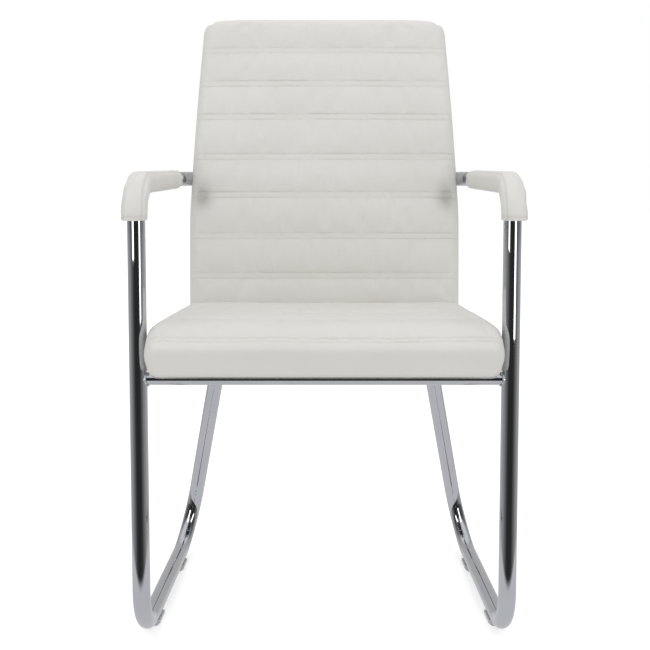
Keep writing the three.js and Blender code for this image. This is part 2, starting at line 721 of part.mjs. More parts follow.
function backBores(xs, distances, radius, high, low = BACK_BOARD_REAR - OVERRUN) {
  return distances.flatMap((distance) => xs.map((x) => {
    const place = offCurve(backCurve, distance, low);
    return pinAlong(new THREE.Vector3(x, place.x, place.y), backNormal(distance), radius, high - low);
  }));
}

const backBoltRows = [
  { xs: Object.values(SIDES).flatMap(armBoltPlaces), distances: [armDistance], reach: armBoltReach },
  {
    xs: Object.values(SIDES).map((side) => side * BRACKET_X),
    distances: bracketBackBolts,
    reach: bracketBoltReach,
  },
];

function backSheet(low, high, margin, corner, spread = 0) {
  return boardGeometry({
    curve: backCurve,
    low,
    high,
    start: margin - spread,
    end: backLength - margin + spread,
    halfWidth: (distance) => backHalfWidth(distance) - margin + spread,
    corner,
  });
}

function backBoard() {
  const counterbore = BACK_BOARD_REAR + BOLT_HEAD_HEIGHT + CLEARANCE;
  const bores = backBoltRows.flatMap(({ xs, distances }) => [
    ...backBores(xs, distances, plateBore, BACK_BOARD_FRONT + OVERRUN),
    ...backBores(xs, distances, BOLT_HEAD_DIAMETER / 2 + CLEARANCE, counterbore),
  ]);
  return cut(backSheet(BACK_BOARD_REAR, BACK_BOARD_FRONT, BACK_BOARD_MARGIN, BACK_BOARD_CORNER), bores);
}

function backCushion() {
  const cushion = cushionGeometry({
    curve: backCurve,
    thickness: BACK_THICKNESS,
    halfWidth: backHalfWidth,
    crown: BACK_CROWN,
    puff: BACK_PUFF,
    seams: Array.from({ length: BACK_SEAM_COUNT }, (_, i) => BACK_FIRST_SEAM + i * BACK_SEAM_PITCH),
    edgeRadius: BACK_EDGE_RADIUS,
    cornerRadius: BACK_TOP_CORNER,
    startCorner: BACK_FOOT_CORNER,
    endCorner: BACK_TOP_CORNER,
    rimRadius: BACK_RIM_RADIUS,
    startSeamDepth: 0,
  });
  const pocket = backSheet(
    BACK_BOARD_REAR - OVERRUN,
    BACK_BOARD_FRONT + CLEARANCE,
    BACK_BOARD_MARGIN,
    BACK_BOARD_CORNER,
    CLEARANCE,
  );
  const arms = Object.values(SIDES).map((side) => {
    const inner = new THREE.Vector3(side * (LEG_X - ARM_END_REACH - CLEARANCE), armRearDepth, ARM_HEIGHT);
    const outer = new THREE.Vector3(side * LEG_X, armRearDepth, ARM_HEIGHT);
    const front = new THREE.Vector3(side * LEG_X, 0, ARM_HEIGHT);
    const corners = [{ point: inner }, { point: outer, bend: ARM_REAR_BEND }, { point: front }];
    const section = roundSection(TUBE_RADIUS + ARM_CHANNEL_FIT);
    return alongRoute(section, new BentRoute(corners, CHANNEL_BEND_STEPS));
  });
  const brackets = Object.values(SIDES).map((side) => bracketBar(side, CLEARANCE));
  const bolts = backBoltRows.flatMap(({ xs, distances, reach }) => {
    return backBores(xs, distances, plateBore, reach + CLEARANCE, BACK_BOARD_FRONT);
  });
  return cut(cushion, [pocket, ...arms, ...brackets, ...bolts]);
}

function backRearPanel() {
  const top = -BACK_THICKNESS / 2 - CLEARANCE;
  return backSheet(top - REAR_PANEL_THICKNESS, top, REAR_PANEL_MARGIN, REAR_PANEL_CORNER);
}

// Padded sleeve from its cuff on the front leg, over the bend and along the arm
function armSleeve(side) {
  const at = (y, z) => new THREE.Vector3(side * LEG_X, y, z);
  const cuffHeight = ARM_HEIGHT - SLEEVE_CUFF_LENGTH;
  const armMiddle = (ARM_FRONT_BEND + SLEEVE_END_DEPTH) / 2;
  const bend = new BentRoute([
    { point: at(0, cuffHeight) },
    { point: at(0, ARM_HEIGHT), bend: ARM_FRONT_BEND },
    { point: at(armMiddle, ARM_HEIGHT) },
  ]);
  const rearTangent = new THREE.Vector3(0, 1, 0);
  const stations = [
    ...bend.stations.map((station) => ({ ...station, pad: SLEEVE_PAD })),
    { point: at(SLEEVE_END_DEPTH - SLEEVE_LIP, ARM_HEIGHT), tangent: rearTangent, pad: SLEEVE_END_PAD },
  ];
  stations[0].pad = SLEEVE_CUFF_PAD;
  const outer = [
    { ...stations[0], point: at(0, cuffHeight - SLEEVE_LIP), pad: SLEEVE_CUFF_PAD * SLEEVE_LIP_SHARE },
    ...stations,
    { ...stations.at(-1), point: at(SLEEVE_END_DEPTH, ARM_HEIGHT), pad: SLEEVE_END_PAD * SLEEVE_LIP_SHARE },
  ];
  const rings = [
    ...outer.map((station) => sleeveRing(side, station, station.pad)),
    ...outer.toReversed().map((station) => sleeveRing(side, station, 0)),
  ];
  return loftSolid(rings);
}

function sleeveRing(side, { point, tangent }, pad) {
  const bore = (TUBE_RADIUS + CLEARANCE) / Math.cos(Math.PI / TUBE_SIDES);
  const across = new THREE.Vector3(1, 0, 0);
  const outward = across.clone().cross(tangent);
  return Array.from({ length: TUBE_SIDES }, (_, i) => {
    const angle = (FULL_TURN * i) / TUBE_SIDES;
    const place = point.clone()
      .addScaledVector(across, (bore + pad) * Math.cos(angle))
      .addScaledVector(outward, (bore + pad * SLEEVE_TOP_SHARE) * Math.sin(angle));
    const nearEnd = THREE.MathUtils.smoothstep(point.y, SLEEVE_END_DEPTH / 2, SLEEVE_END_DEPTH);
    place.y += (nearEnd * SLEEVE_END_SLANT * side * (place.x - point.x)) / TUBE_DIAMETER;
    return place;
  });
}

// Socket head bolt: the underside of its head is at z = 0 and its shank points up
function bolt(shankLength) {
  const outline = [
    [0, -BOLT_HEAD_HEIGHT + BOLT_SOCKET_DEPTH],
    [BOLT_SOCKET_DIAMETER / 2, -BOLT_HEAD_HEIGHT + BOLT_SOCKET_DEPTH],
    [BOLT_SOCKET_DIAMETER / 2, -BOLT_HEAD_HEIGHT],
    [BOLT_HEAD_DIAMETER / 2, -BOLT_HEAD_HEIGHT],
    [BOLT_HEAD_DIAMETER / 2, 0],
    [BOLT_RADIUS, 0],
    [BOLT_RADIUS, shankLength],
    [0, shankLength],
  ];
  const turned = new THREE.LatheGeometry(outline.map(([r, z]) => new THREE.Vector2(r, z)), BOLT_SIDES);
  return turned.rotateX(QUARTER_TURN);
}

function addMesh(parent, name, geometry, material) {
  const mesh = new THREE.Mesh(geometry, material);
  mesh.name = name;
  parent.add(mesh);
  return mesh;
}

// Assembly
const chair = new THREE.Group();
const seat = new THREE.Group();
seat.position.z = SEAT_ORIGIN_HEIGHT;
seat.rotation.x = -SEAT_SLOPE;
chair.add(seat);

const runnerTurn = Math.atan2(SLED_REAR_INSET, SLED_DEPTH);

function addGlide(name, side, place) {
  const mesh = addMesh(chair, name, glide(), clearPlastic());
  mesh.position.set(side * (LEG_X - place * Math.tan(runnerTurn)), place, 0);
  mesh.rotation.z = side * runnerTurn;
}

function addSeatBolts(name, side, row) {
  row.places.forEach((y, i) => {
    const mesh = addMesh(seat, `${name}_bolt_${i + 1}`, bolt(SEAT_BOLT_BITE + BAR_THICKNESS), boltSteel());
    mesh.position.set(side * row.x, y, 0);
  });
}

function addBackBolt(name, x, distance, reach) {
  const head = BACK_BOARD_REAR + BOLT_HEAD_HEIGHT;
  const place = offCurve(backCurve, distance, head);
  const mesh = addMesh(chair, name, bolt(reach - head), boltSteel());
  mesh.position.set(x, place.x, place.y);
  mesh.quaternion.setFromUnitVectors(UP, backNormal(distance));
}

addMesh(chair, "front_cross_tube", crossTube(LEG_X, 0, FRONT_CROSS_HEIGHT), chrome());
addMesh(chair, "rear_cross_tube", rearCrossTube(), chrome());
addMesh(seat, "seat_board", seatBoard(), plywood());
addMesh(seat, "seat_dust_cover", seatCover(), dustCloth());
addMesh(seat, "seat_cushion", seatCushion(), leather());
addMesh(chair, "back_board", backBoard(), plywood());
addMesh(chair, "back_cushion", backCushion(), leather());
addMesh(chair, "back_rear_panel", backRearPanel(), leather());

for (const [name, side] of Object.entries(SIDES)) {
  addMesh(chair, `side_frame_${name}`, sideFrame(side), chrome());
  addMesh(chair, `arm_sleeve_${name}`, armSleeve(side), leather());
  addGlide(`glide_front_${name}`, side, GLIDE_FRONT_PLACE);
  addGlide(`glide_rear_${name}`, side, GLIDE_REAR_PLACE);
  const { front, rear, bracket: bracketRow } = seatBoltRows;
  const frontEnd = FRONT_PLATE_LENGTH - FRONT_PLATE_OVERHANG;
  const [rearFrom, rearTo] = REAR_PLATE_END_SHARES.map((share) => REAR_LEG_TOP_DEPTH + share * REAR_PLATE_LENGTH);
  const frontPlate = flatPlate(front, -FRONT_PLATE_OVERHANG, frontEnd, side);
  const rearPlate = flatPlate(rear, rearFrom, rearTo, side);
  addMesh(seat, `front_seat_plate_${name}`, frontPlate, chrome());
  addMesh(seat, `rear_seat_plate_${name}`, rearPlate, chrome());
  addMesh(chair, `back_bracket_${name}`, bracket(side), blackSteel());
  addSeatBolts(`front_plate_${name}`, side, front);
  addSeatBolts(`rear_plate_${name}`, side, rear);
  addSeatBolts(`seat_bracket_${name}`, side, bracketRow);
  armBoltPlaces(side).forEach((x, i) => addBackBolt(`arm_${name}_bolt_${i + 1}`, x, armDistance, armBoltReach));
  bracketBackBolts.forEach((distance, i) => {
    addBackBolt(`back_bracket_${name}_bolt_${i + 1}`, side * BRACKET_X, distance, bracketBoltReach);
  });
}

// The floor point under the middle of the whole chair is the origin
const extent = new THREE.Box3().setFromObject(chair, true);
chair.position.y = -(extent.min.y + extent.max.y) / 2;

export default chair;
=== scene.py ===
"""Visitor chair with bent chrome side frames, padded arm sleeves and a channelled leather seat and back."""

import logging
import math
from dataclasses import dataclass, field
from enum import Enum
from typing import Callable, NamedTuple, Sequence

import bmesh
import bpy
import numpy as np
from mathutils import Matrix, Vector, noise
from mathutils.bvhtree import BVHTree


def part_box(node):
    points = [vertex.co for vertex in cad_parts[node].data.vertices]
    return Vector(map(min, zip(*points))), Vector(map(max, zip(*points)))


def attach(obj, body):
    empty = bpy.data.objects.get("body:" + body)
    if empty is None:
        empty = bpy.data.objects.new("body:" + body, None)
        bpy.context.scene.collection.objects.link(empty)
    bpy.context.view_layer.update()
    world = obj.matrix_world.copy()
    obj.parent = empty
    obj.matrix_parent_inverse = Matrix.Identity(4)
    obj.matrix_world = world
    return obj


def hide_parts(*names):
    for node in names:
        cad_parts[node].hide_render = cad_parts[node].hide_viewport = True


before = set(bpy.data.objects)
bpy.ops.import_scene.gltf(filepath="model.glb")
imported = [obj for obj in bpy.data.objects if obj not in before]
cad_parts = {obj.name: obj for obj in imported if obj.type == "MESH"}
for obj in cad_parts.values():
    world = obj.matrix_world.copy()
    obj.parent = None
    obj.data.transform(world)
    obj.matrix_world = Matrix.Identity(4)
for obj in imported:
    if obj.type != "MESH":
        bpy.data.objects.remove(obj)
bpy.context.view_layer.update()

MM = 0.001
X_AXIS, Y_AXIS, Z_AXIS = Vector((1, 0, 0)), Vector((0, 1, 0)), Vector((0, 0, 1))
Pair = tuple[float, float]
Socket = bpy.types.NodeSocket

log = logging.getLogger("chair")


class Side(Enum):
    """The two sides of the chair, as seen from the front."""

    LEFT = -1
    RIGHT = 1

    @property
    def label(self) -> str:
        """Name of the side in the names of pieces."""
        return self.name.lower()


class Slot(Enum):
    """Material slots of the record."""

    CHROME = "chrome_tube"
    LEATHER = "white_leather"
    PLYWOOD = "plywood"
    BLACK_STEEL = "black_steel"
    DUST_CLOTH = "dust_cloth"
    NYLON = "glide_plastic"
    ZINC = "bolt_steel"


# Finishes

class Cloud(NamedTuple):
    """A noise pattern, by its blotches to the metre, its octaves and how it is stretched."""

    scale: float
    detail: float = 3.0
    stretch: tuple | None = None


class NodeSheet:
    """Lays out the nodes of a material or of the world."""

    def __init__(self, owner: bpy.types.ID, coordinates: str = "Object") -> None:
        """Starts on the owner's first nodes.

        Args:
            owner: the material or the world.
            coordinates: the coordinates that its patterns follow.
        """
        owner.use_nodes = True
        self.owner, self.tree = owner, owner.node_tree
        self.place = self.add("ShaderNodeTexCoord", out=coordinates)

    def fill(self, node: bpy.types.Node, inputs: dict) -> None:
        """Sets a node's inputs, by name or number, to values or sockets."""
        for key, value in inputs.items():
            if isinstance(value, Socket):
                self.tree.links.new(value, node.inputs[key])
            else:
                node.inputs[key].default_value = value

    def add(self, kind: str, inputs: dict | None = None, out: str | int = 0, **settings) -> Socket:
        """Adds a node.

        Args:
            kind: the node's type.
            inputs: values or sockets for its inputs, by name or number.
            out: the output that is wanted, by name or number.
            settings: properties of the node itself.

        Returns:
            That output.
        """
        node = self.tree.nodes.new(kind)
        for key, value in settings.items():
            setattr(node, key, value)
        self.fill(node, inputs or {})
        return node.outputs[out]

    def cloud(self, cloud: Cloud) -> Socket:
        """The factor of a noise pattern."""
        place = self.place
        if cloud.stretch:
            place = self.add("ShaderNodeMapping", {"Vector": place, "Scale": cloud.stretch})
        inputs = {"Vector": place, "Scale": cloud.scale, "Detail": cloud.detail}
        return self.add("ShaderNodeTexNoise", inputs, "Fac")

    def spread(self, value: Socket, low: float, high: float, span: Pair = (0.3, 0.7)) -> Socket:
        """Maps a pattern on a new range.

        Args:
            value: the pattern.
            low: what the low end of the span becomes.
            high: what its high end becomes.
            span: the pattern's range that is used.

        Returns:
            The mapped socket.
        """
        inputs = {"Value": value, "From Min": span[0], "From Max": span[1], "To Min": low, "To Max": high}
        return self.add("ShaderNodeMapRange", inputs, "Result")

    def calc(self, operation: str, *values: Socket | float) -> Socket:
        """The result of a sum on sockets or numbers."""
        return self.add("ShaderNodeMath", dict(enumerate(values)), operation=operation)

    def mix(self, share: Socket, first: Socket | tuple, second: Socket | tuple) -> Socket:
        """A colour between two, each a socket or a tuple."""
        ends = [end if isinstance(end, Socket) else (*end, 1) for end in (first, second)]
        return self.add("ShaderNodeMix", {"Factor": share, 6: ends[0], 7: ends[1]}, 2, data_type="RGBA")

    def bump(self, height: Socket, depth: float, strength: float, under: Socket | None = None) -> Socket:
        """Relief from a height pattern.

        Args:
            height: the pattern.
            depth: its height in metres.
            strength: how strong it shows.
            under: the relief that it lies on.

        Returns:
            The normal socket.
        """
        inputs = {"Height": height, "Distance": depth, "Strength": strength}
        return self.add("ShaderNodeBump", inputs | ({"Normal": under} if under else {}))

    def ramp(self, share: Socket, stops: Sequence[Pair]) -> Socket:
        """Greys with a hair of blue, by stops of a place and a grey."""
        painted = self.add("ShaderNodeValToRGB", {0: share})
        elements = painted.node.color_ramp.elements
        while len(elements) < len(stops):
            elements.new(0.5)
        for element, (place, grey) in zip(elements, stops):
            element.position = place
            element.color = (grey, grey, grey * 1.01, 1)
        return painted


@dataclass(frozen=True)
class Finish:
    """A material with a base tone and a patch tone, which shows where a pattern is high."""

    name: str
    base: tuple
    patch: tuple

    def inputs(self, sheet: NodeSheet) -> dict:
        """What the shader takes, by the names of its inputs."""
        raise NotImplementedError

    def material(self) -> bpy.types.Material:
        """Builds the material."""
        sheet = NodeSheet(bpy.data.materials.new(self.name))
        sheet.fill(sheet.tree.nodes["Principled BSDF"], self.inputs(sheet))
        return sheet.owner


@dataclass(frozen=True)
class Coating(Finish):
    """A finish whose tone, roughness and relief follow noise patterns."""

    tone: Cloud
    wear: Cloud
    roughness: Pair
    grain: Cloud
    depth: float
    strength: float
    metallic: float = 0.0
    # tone painted where shade falls, shown by the painted shade attribute
    creased: tuple | None = None

    def crease(self, sheet: NodeSheet) -> Socket:
        """How far the painted shade tone shows, by the piece's painted shade attribute."""
        return sheet.add("ShaderNodeAttribute", out="Fac", attribute_name="crease")

    def relief(self, sheet: NodeSheet) -> Socket | None:
        """The relief that the grain lies on, if any."""
        return None

    def inputs(self, sheet: NodeSheet) -> dict:
        """Its tones, roughness and grain."""
        tone = sheet.mix(sheet.spread(sheet.cloud(self.tone), 0, 1), self.base, self.patch)
        return {
            # painted shade: the tone turns towards the painted shade tone where the attribute is high
            "Base Color": sheet.mix(self.crease(sheet), tone, self.creased) if self.creased else tone,
            "Metallic": self.metallic,
            "Roughness": sheet.spread(sheet.cloud(self.wear), *self.roughness),
            "Normal": sheet.bump(sheet.cloud(self.grain), self.depth, self.strength, self.relief(sheet)),
        }


@dataclass(frozen=True)
class ChromePlate(Coating):
    """Bright chrome on steel, with faint haze, polishing marks and mottled painted shade and dark reflection
    where its piece is marked.
    """

    spots: Cloud = Cloud(170, 4)
    spot_shares: Pair = (0.45, 0.95)
    spot_span: Pair = (0.38, 0.62)

    def crease(self, sheet: NodeSheet) -> Socket:
        """How far the painted shade and dark reflection show, in mottled spots."""
        spots = sheet.spread(sheet.cloud(self.spots), *self.spot_shares, self.spot_span)
        return sheet.calc("MULTIPLY", super().crease(sheet), spots)


@dataclass(frozen=True)
class WhiteLeather(Coating):
    """Warm white coated leather with a pebbled grain, with painted shade in its creases."""

    pebbles: float = 620.0
    pebble_span: Pair = (0.0, 0.25)

    def relief(self, sheet: NodeSheet) -> Socket:
        """Pebbles over broad soft waves."""
        inputs = {"Vector": sheet.place, "Scale": self.pebbles, "Randomness": 0.9}
        cells = sheet.add("ShaderNodeTexVoronoi", inputs, "Distance", feature="DISTANCE_TO_EDGE")
        waves = sheet.bump(sheet.cloud(self.wear), 1.2 * MM, 0.12)
        return sheet.bump(sheet.spread(cells, 0, 1, self.pebble_span), 0.22 * MM, 0.32, waves)

    def inputs(self, sheet: NodeSheet) -> dict:
        """A soft gloss with a little sheen."""
        sheen = {"Sheen Weight": 0.06, "Sheen Roughness": 0.4}
        return super().inputs(sheet) | sheen | {"Specular IOR Level": 0.42}


@dataclass(frozen=True)
class SpunCloth(Coating):
    """Spunbond cloth with embossed points."""

    points: float = 520.0

    def relief(self, sheet: NodeSheet) -> Socket:
        """The embossed points."""
        cells = sheet.add("ShaderNodeTexVoronoi", {"Vector": sheet.place, "Scale": self.points}, "Distance")
        return sheet.bump(cells, 0.2 * MM, 0.5)

    def inputs(self, sheet: NodeSheet) -> dict:
        """The sheen of loose fibres."""
        return super().inputs(sheet) | {"Sheen Weight": 0.3}


@dataclass(frozen=True)
class SewingThread(Finish):
    """Twisted sewing thread."""

    twists: float = 900.0

    def inputs(self, sheet: NodeSheet) -> dict:
        """Tone, roughness and relief by the twist."""
        inputs = {"Vector": sheet.place, "Scale": self.twists, "Distortion": 1.5}
        twist = sheet.add("ShaderNodeTexWave", inputs, "Fac", bands_direction="DIAGONAL")
        return {
            "Base Color": sheet.mix(twist, self.base, self.patch),
            "Roughness": sheet.spread(twist, 0.7, 0.5, (0.0, 1.0)),
            "Normal": sheet.bump(twist, 0.08 * MM, 0.4),
        }


@dataclass(frozen=True)
class ScuffedNylon(Finish):
    """Pale nylon that is scuffed towards the floor."""

    scuff_height: float = 3 * MM

    def inputs(self, sheet: NodeSheet) -> dict:
        """Scuffs that fade with height."""
        height = sheet.add("ShaderNodeSeparateXYZ", {"Vector": sheet.place}, "Z")
        low = sheet.spread(height, 1.0, 0.0, (0.0, self.scuff_height))
        scuffs = sheet.calc("MULTIPLY", low, sheet.spread(sheet.cloud(Cloud(420, 4)), 0, 1))
        return {
            "Base Color": sheet.mix(scuffs, self.base, self.patch),
            "Roughness": sheet.spread(scuffs, 0.32, 0.6, (0.0, 1.0)),
            "Normal": sheet.bump(sheet.cloud(Cloud(900, 2)), 0.05 * MM, 0.2),
        }


FINISHES = {
    Slot.CHROME: ChromePlate(
        name="chrome_plate", base=(0.64, 0.655, 0.68), patch=(0.6016, 0.6157, 0.6392),
        # painted shade and dark reflection: the near-black tone for the marked end of the arm
        creased=(0.07, 0.07, 0.072), metallic=1.0, tone=Cloud(14, 4), wear=Cloud(14, 4),
        roughness=(0.015, 0.045), grain=Cloud(900, 2, (1, 1, 0.08)), depth=0.01 * MM, strength=0.12,
    ),
    Slot.LEATHER: WhiteLeather(
        name="white_leather", base=(0.76, 0.746, 0.712), patch=(0.735, 0.72, 0.684),
        # painted shade tone for the seams, stitches and dents
        creased=(0.56, 0.543, 0.508), tone=Cloud(9), wear=Cloud(38),
        roughness=(0.42, 0.54), grain=Cloud(2600), depth=0.05 * MM, strength=0.25,
    ),
    Slot.PLYWOOD: Coating(
        name="bare_plywood", base=(0.66, 0.50, 0.32), patch=(0.47, 0.33, 0.19),
        tone=Cloud(26, 5, (1, 0.12, 0.12)), wear=Cloud(800, 2, (1, 0.05, 0.05)),
        roughness=(0.55, 0.75), grain=Cloud(800, 2, (1, 0.05, 0.05)), depth=0.15 * MM, strength=0.3,
    ),
    Slot.BLACK_STEEL: Coating(
        name="black_powder_coat", base=(0.028, 0.028, 0.031), patch=(0.012, 0.012, 0.014),
        metallic=0.2, tone=Cloud(60), wear=Cloud(700),
        roughness=(0.35, 0.5), grain=Cloud(700), depth=0.12 * MM, strength=0.35,
    ),
    Slot.DUST_CLOTH: SpunCloth(
        name="black_dust_cloth", base=(0.015, 0.015, 0.016), patch=(0.05, 0.05, 0.052),
        tone=Cloud(1500, 4), wear=Cloud(1500, 4),
        roughness=(0.85, 0.98), grain=Cloud(1500, 4), depth=0.1 * MM, strength=0.4,
    ),
    Slot.NYLON: ScuffedNylon(name="pale_nylon", base=(0.78, 0.785, 0.77), patch=(0.62, 0.61, 0.58)),
    Slot.ZINC: Coating(
        name="zinc_plate", base=(0.58, 0.59, 0.61), patch=(0.40, 0.41, 0.42),
        metallic=1.0, tone=Cloud(260, 4), wear=Cloud(260, 4),
        roughness=(0.22, 0.42), grain=Cloud(1500, 2), depth=0.03 * MM, strength=0.3,
    ),
}
THREAD = SewingThread(name="sewing_thread", base=(0.68, 0.66, 0.61), patch=(0.80, 0.785, 0.745))


class Finishes:
    """All materials of the chair, made once."""

    def __init__(self) -> None:
        """Makes the materials."""
        self.by_slot = {slot: finish.material() for slot, finish in FINISHES.items()}
        self.thread = THREAD.material()

    def settle(self, piece: bpy.types.Object, slot: Slot, *nodes: str, sewn: bool = False) -> None:
        """Gives a piece its finish and its body, and hides the CAD nodes that it stands for.

        Args:
            piece: the piece.
            slot: its slot in the record.
            nodes: CAD nodes that it replaces.
            sewn: whether it is of thread and not of the slot's own material.
        """
        piece.data.materials.clear()
        piece.data.materials.append(self.thread if sewn else self.by_slot[slot])
        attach(piece, "root")
        if nodes:
            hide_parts(*nodes)
        log.info("%s: %d faces", piece.name, len(piece.data.polygons))

    def dress_node(self, node: str, slot: Slot) -> None:
        """Gives a CAD node that stays its finish."""
        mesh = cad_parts[node].data
        mesh.materials.clear()
        mesh.materials.append(self.by_slot[slot])
        log.info("%s stays, in %s", node, slot.value)


# Shared tools

def finished(name: str, bm: bmesh.types.BMesh, sharp_degrees: float = 40.0) -> bpy.types.Object:
    """Turns a bmesh into a smooth shaded object at the origin.

    Args:
        name: name of the piece.
        bm: its form, which is freed.
        sharp_degrees: edges that turn more than this stay sharp.

    Returns:
        The new object.
    """
    mesh = bpy.data.meshes.new(name)
    bm.to_mesh(mesh)
    bm.free()
    mesh.shade_smooth()
    mesh.set_sharp_from_angle(angle=math.radians(sharp_degrees))
    return linked(name, mesh)


def linked(name: str, data: bpy.types.ID) -> bpy.types.Object:
    """An object in the scene that shows a mesh, a light or a camera."""
    piece = bpy.data.objects.new(name, data)
    bpy.context.scene.collection.objects.link(piece)
    return piece


def verts_of(geometry: Sequence) -> list[bmesh.types.BMVert]:
    """The vertices among the geometry that an operator returns."""
    return [item for item in geometry if isinstance(item, bmesh.types.BMVert)]


def solid_shell(bm: bmesh.types.BMesh, thickness: float) -> None:
    """Turns an open sheet into a shell of a thickness."""
    bmesh.ops.recalc_face_normals(bm, faces=bm.faces)
    bmesh.ops.solidify(bm, geom=list(bm.faces), thickness=thickness)


def clamped(share: float) -> float:
    """A share held between 0 and 1."""
    return min(max(share, 0), 1)


def hump(distance: float, reach: float) -> float:
    """A soft hump that is 1 at no distance and fades over the reach."""
    return math.exp(-(distance / reach) ** 2)


def corner_round(dx: float, dy: float, corner: float) -> tuple[float, float, float]:
    """Rounds a corner of a flat outline.

    Args:
        dx: place across, past the centre of the corner.
        dy: place along, past the centre of the corner.
        corner: radius of the corner.

    Returns:
        Both places on the rounded form, and the distance in from the outline.
    """
    inside = corner - max(dx, dy)
    if dx > 0 and dy > 0:
        factor = max(dx, dy) / math.hypot(dx, dy)
        dx, dy = dx * factor, dy * factor
    return dx, dy, inside


class RouteCorner(NamedTuple):
    """A corner of a bent tube's centre line."""

    point: Vector
    bend: float = 0.0


class Ring(NamedTuple):
    """A ring of a tube: its centre, the tube's direction there and its vertices."""

    centre: Vector
    heading: Vector
    verts: list[bmesh.types.BMVert]


class TubeBender:
    """Draws a round section along a centre line, by straight runs and true bends."""

    GUARD = 1 * MM

    def __init__(self, start: Vector, heading: Vector, radius: float, sides: int) -> None:
        """Starts with the section's circle.

        Args:
            start: centre of the first circle.
            heading: direction of the first run.
            radius: radius of the section.
            sides: sides of the section.
        """
        self.bm = bmesh.new()
        # painted shade attribute, 0 unless a piece marks it
        self.crease = self.bm.verts.layers.float.new("crease")
        turn = heading.to_track_quat("Z", "Y").to_matrix().to_4x4()
        made = bmesh.ops.create_circle(
            self.bm, cap_ends=False, radius=radius, segments=sides, matrix=Matrix.Translation(start) @ turn
        )
        self.rings = [Ring(start.copy(), heading.normalized(), made["verts"])]

    def last_edges(self) -> list[bmesh.types.BMEdge]:
        """Edges of the last ring."""
        members = set(self.rings[-1].verts)
        edges = {edge for vert in members for edge in vert.link_edges}
        return [edge for edge in edges if members.issuperset(edge.verts)]

    def run(self, length: float, cuts: int = 1) -> None:
        """Draws a straight run, with a close ring at each end that keeps it straight where it is shaded.

        Args:
            length: its length.
            cuts: rings along it.
        """
        guard = min(self.GUARD, length / 4)
        for part in (guard, *[(length - 2 * guard) / cuts] * cuts, guard):
            centre, heading, _ = self.rings[-1]
            made = bmesh.ops.extrude_edge_only(self.bm, edges=self.last_edges())
            verts = verts_of(made["geom"])
            bmesh.ops.translate(self.bm, verts=verts, vec=heading * part)
            self.rings.append(Ring(centre + heading * part, heading, verts))

    def bend(self, pivot: Vector, axis: Vector, angle: float, steps: int) -> None:
        """Draws a bend.

        Args:
            pivot: a point on the axis of the bend.
            axis: direction of the axis.
            angle: angle of the bend.
            steps: rings along it.
        """
        step = angle / steps
        turn = Matrix.Rotation(step, 3, axis)
        for _ in range(steps):
            centre, heading, verts = self.rings[-1]
            geometry = self.last_edges() + list(verts)
            made = bmesh.ops.spin(self.bm, geom=geometry, cent=pivot, axis=axis, angle=step, steps=1)
            centre = pivot + turn @ (centre - pivot)
            self.rings.append(Ring(centre, turn @ heading, verts_of(made["geom_last"])))

    @classmethod
    def along(cls, corners: Sequence[RouteCorner], radius: float, sides: int, bend_steps: int,
              run_pitch: float) -> "TubeBender":
        """Draws a whole route.

        Args:
            corners: ends and corners of the centre line.
            radius: radius of the section.
            sides: sides of the section.
            bend_steps: rings in a quarter turn.
            run_pitch: greatest distance between rings on a run.

        Returns:
            The bender, with its rings.
        """
        points = [corner.point for corner in corners]
        bender = cls(points[0], points[1] - points[0], radius, sides)
        for before, corner, after in zip(points, corners[1:], points[2:]):
            into = (corner.point - before).normalized()
            out = (after - corner.point).normalized()
            angle, axis = into.angle(out), into.cross(out).normalized()
            setback = corner.bend * math.tan(angle / 2)
            length = (corner.point - bender.rings[-1].centre).length - setback
            bender.run(length, max(1, round(length / run_pitch)))
            pivot = bender.rings[-1].centre + axis.cross(into) * corner.bend
            bender.bend(pivot, axis, angle, max(2, round(bend_steps * angle / (math.pi / 2))))
        length = (points[-1] - bender.rings[-1].centre).length
        bender.run(length, max(1, round(length / run_pitch)))
        return bender


class PlaneCurve:
    """A curve in the chair's side view, walked by distance."""

    SAMPLES = 800

    def __init__(self, places: np.ndarray) -> None:
        """Measures a row of places, each a depth and a height."""
        self.places = places
        steps = np.linalg.norm(np.diff(places, axis=0), axis=1)
        self.distances = np.concatenate([[0], np.cumsum(steps)])
        tangents = np.gradient(places, self.distances, axis=0)
        self.tangents = tangents / np.linalg.norm(tangents, axis=1)[:, None]
        self.length = float(self.distances[-1])

    @classmethod
    def cubic(cls, points: Sequence[Pair]) -> "PlaneCurve":
        """A cubic curve, by its four control points."""
        share = np.linspace(0, 1, cls.SAMPLES)[:, None]
        first, second, third, last = (np.array(point) for point in points)
        return cls(
            first * (1 - share) ** 3 + 3 * second * share * (1 - share) ** 2
            + 3 * third * share ** 2 * (1 - share) + last * share ** 3
        )

    def off(self, distance: float, offset: float) -> Pair:
        """Depth and height of a point at a distance along the curve and an offset towards its left."""
        tangent = [np.interp(distance, self.distances, self.tangents[:, i]) for i in (0, 1)]
        place = [np.interp(distance, self.distances, self.places[:, i]) for i in (0, 1)]
        return place[0] - tangent[1] * offset, place[1] + tangent[0] * offset

    def beside(self, offset: float, margin: float) -> "PlaneCurve":
        """The curve at an offset towards its left, shorter by a margin at both ends."""
        keep = (self.distances >= margin) & (self.distances <= self.length - margin)
        normals = np.stack([-self.tangents[:, 1], self.tangents[:, 0]], axis=1)
        return PlaneCurve((self.places + normals * offset)[keep])

    def normal(self, distance: float) -> Vector:
        """Direction square to the curve, towards its left."""
        near, far = self.off(distance, 0.0), self.off(distance, 1.0)
        return Vector((0, far[0] - near[0], far[1] - near[1]))


# Sizes that more than one piece follows

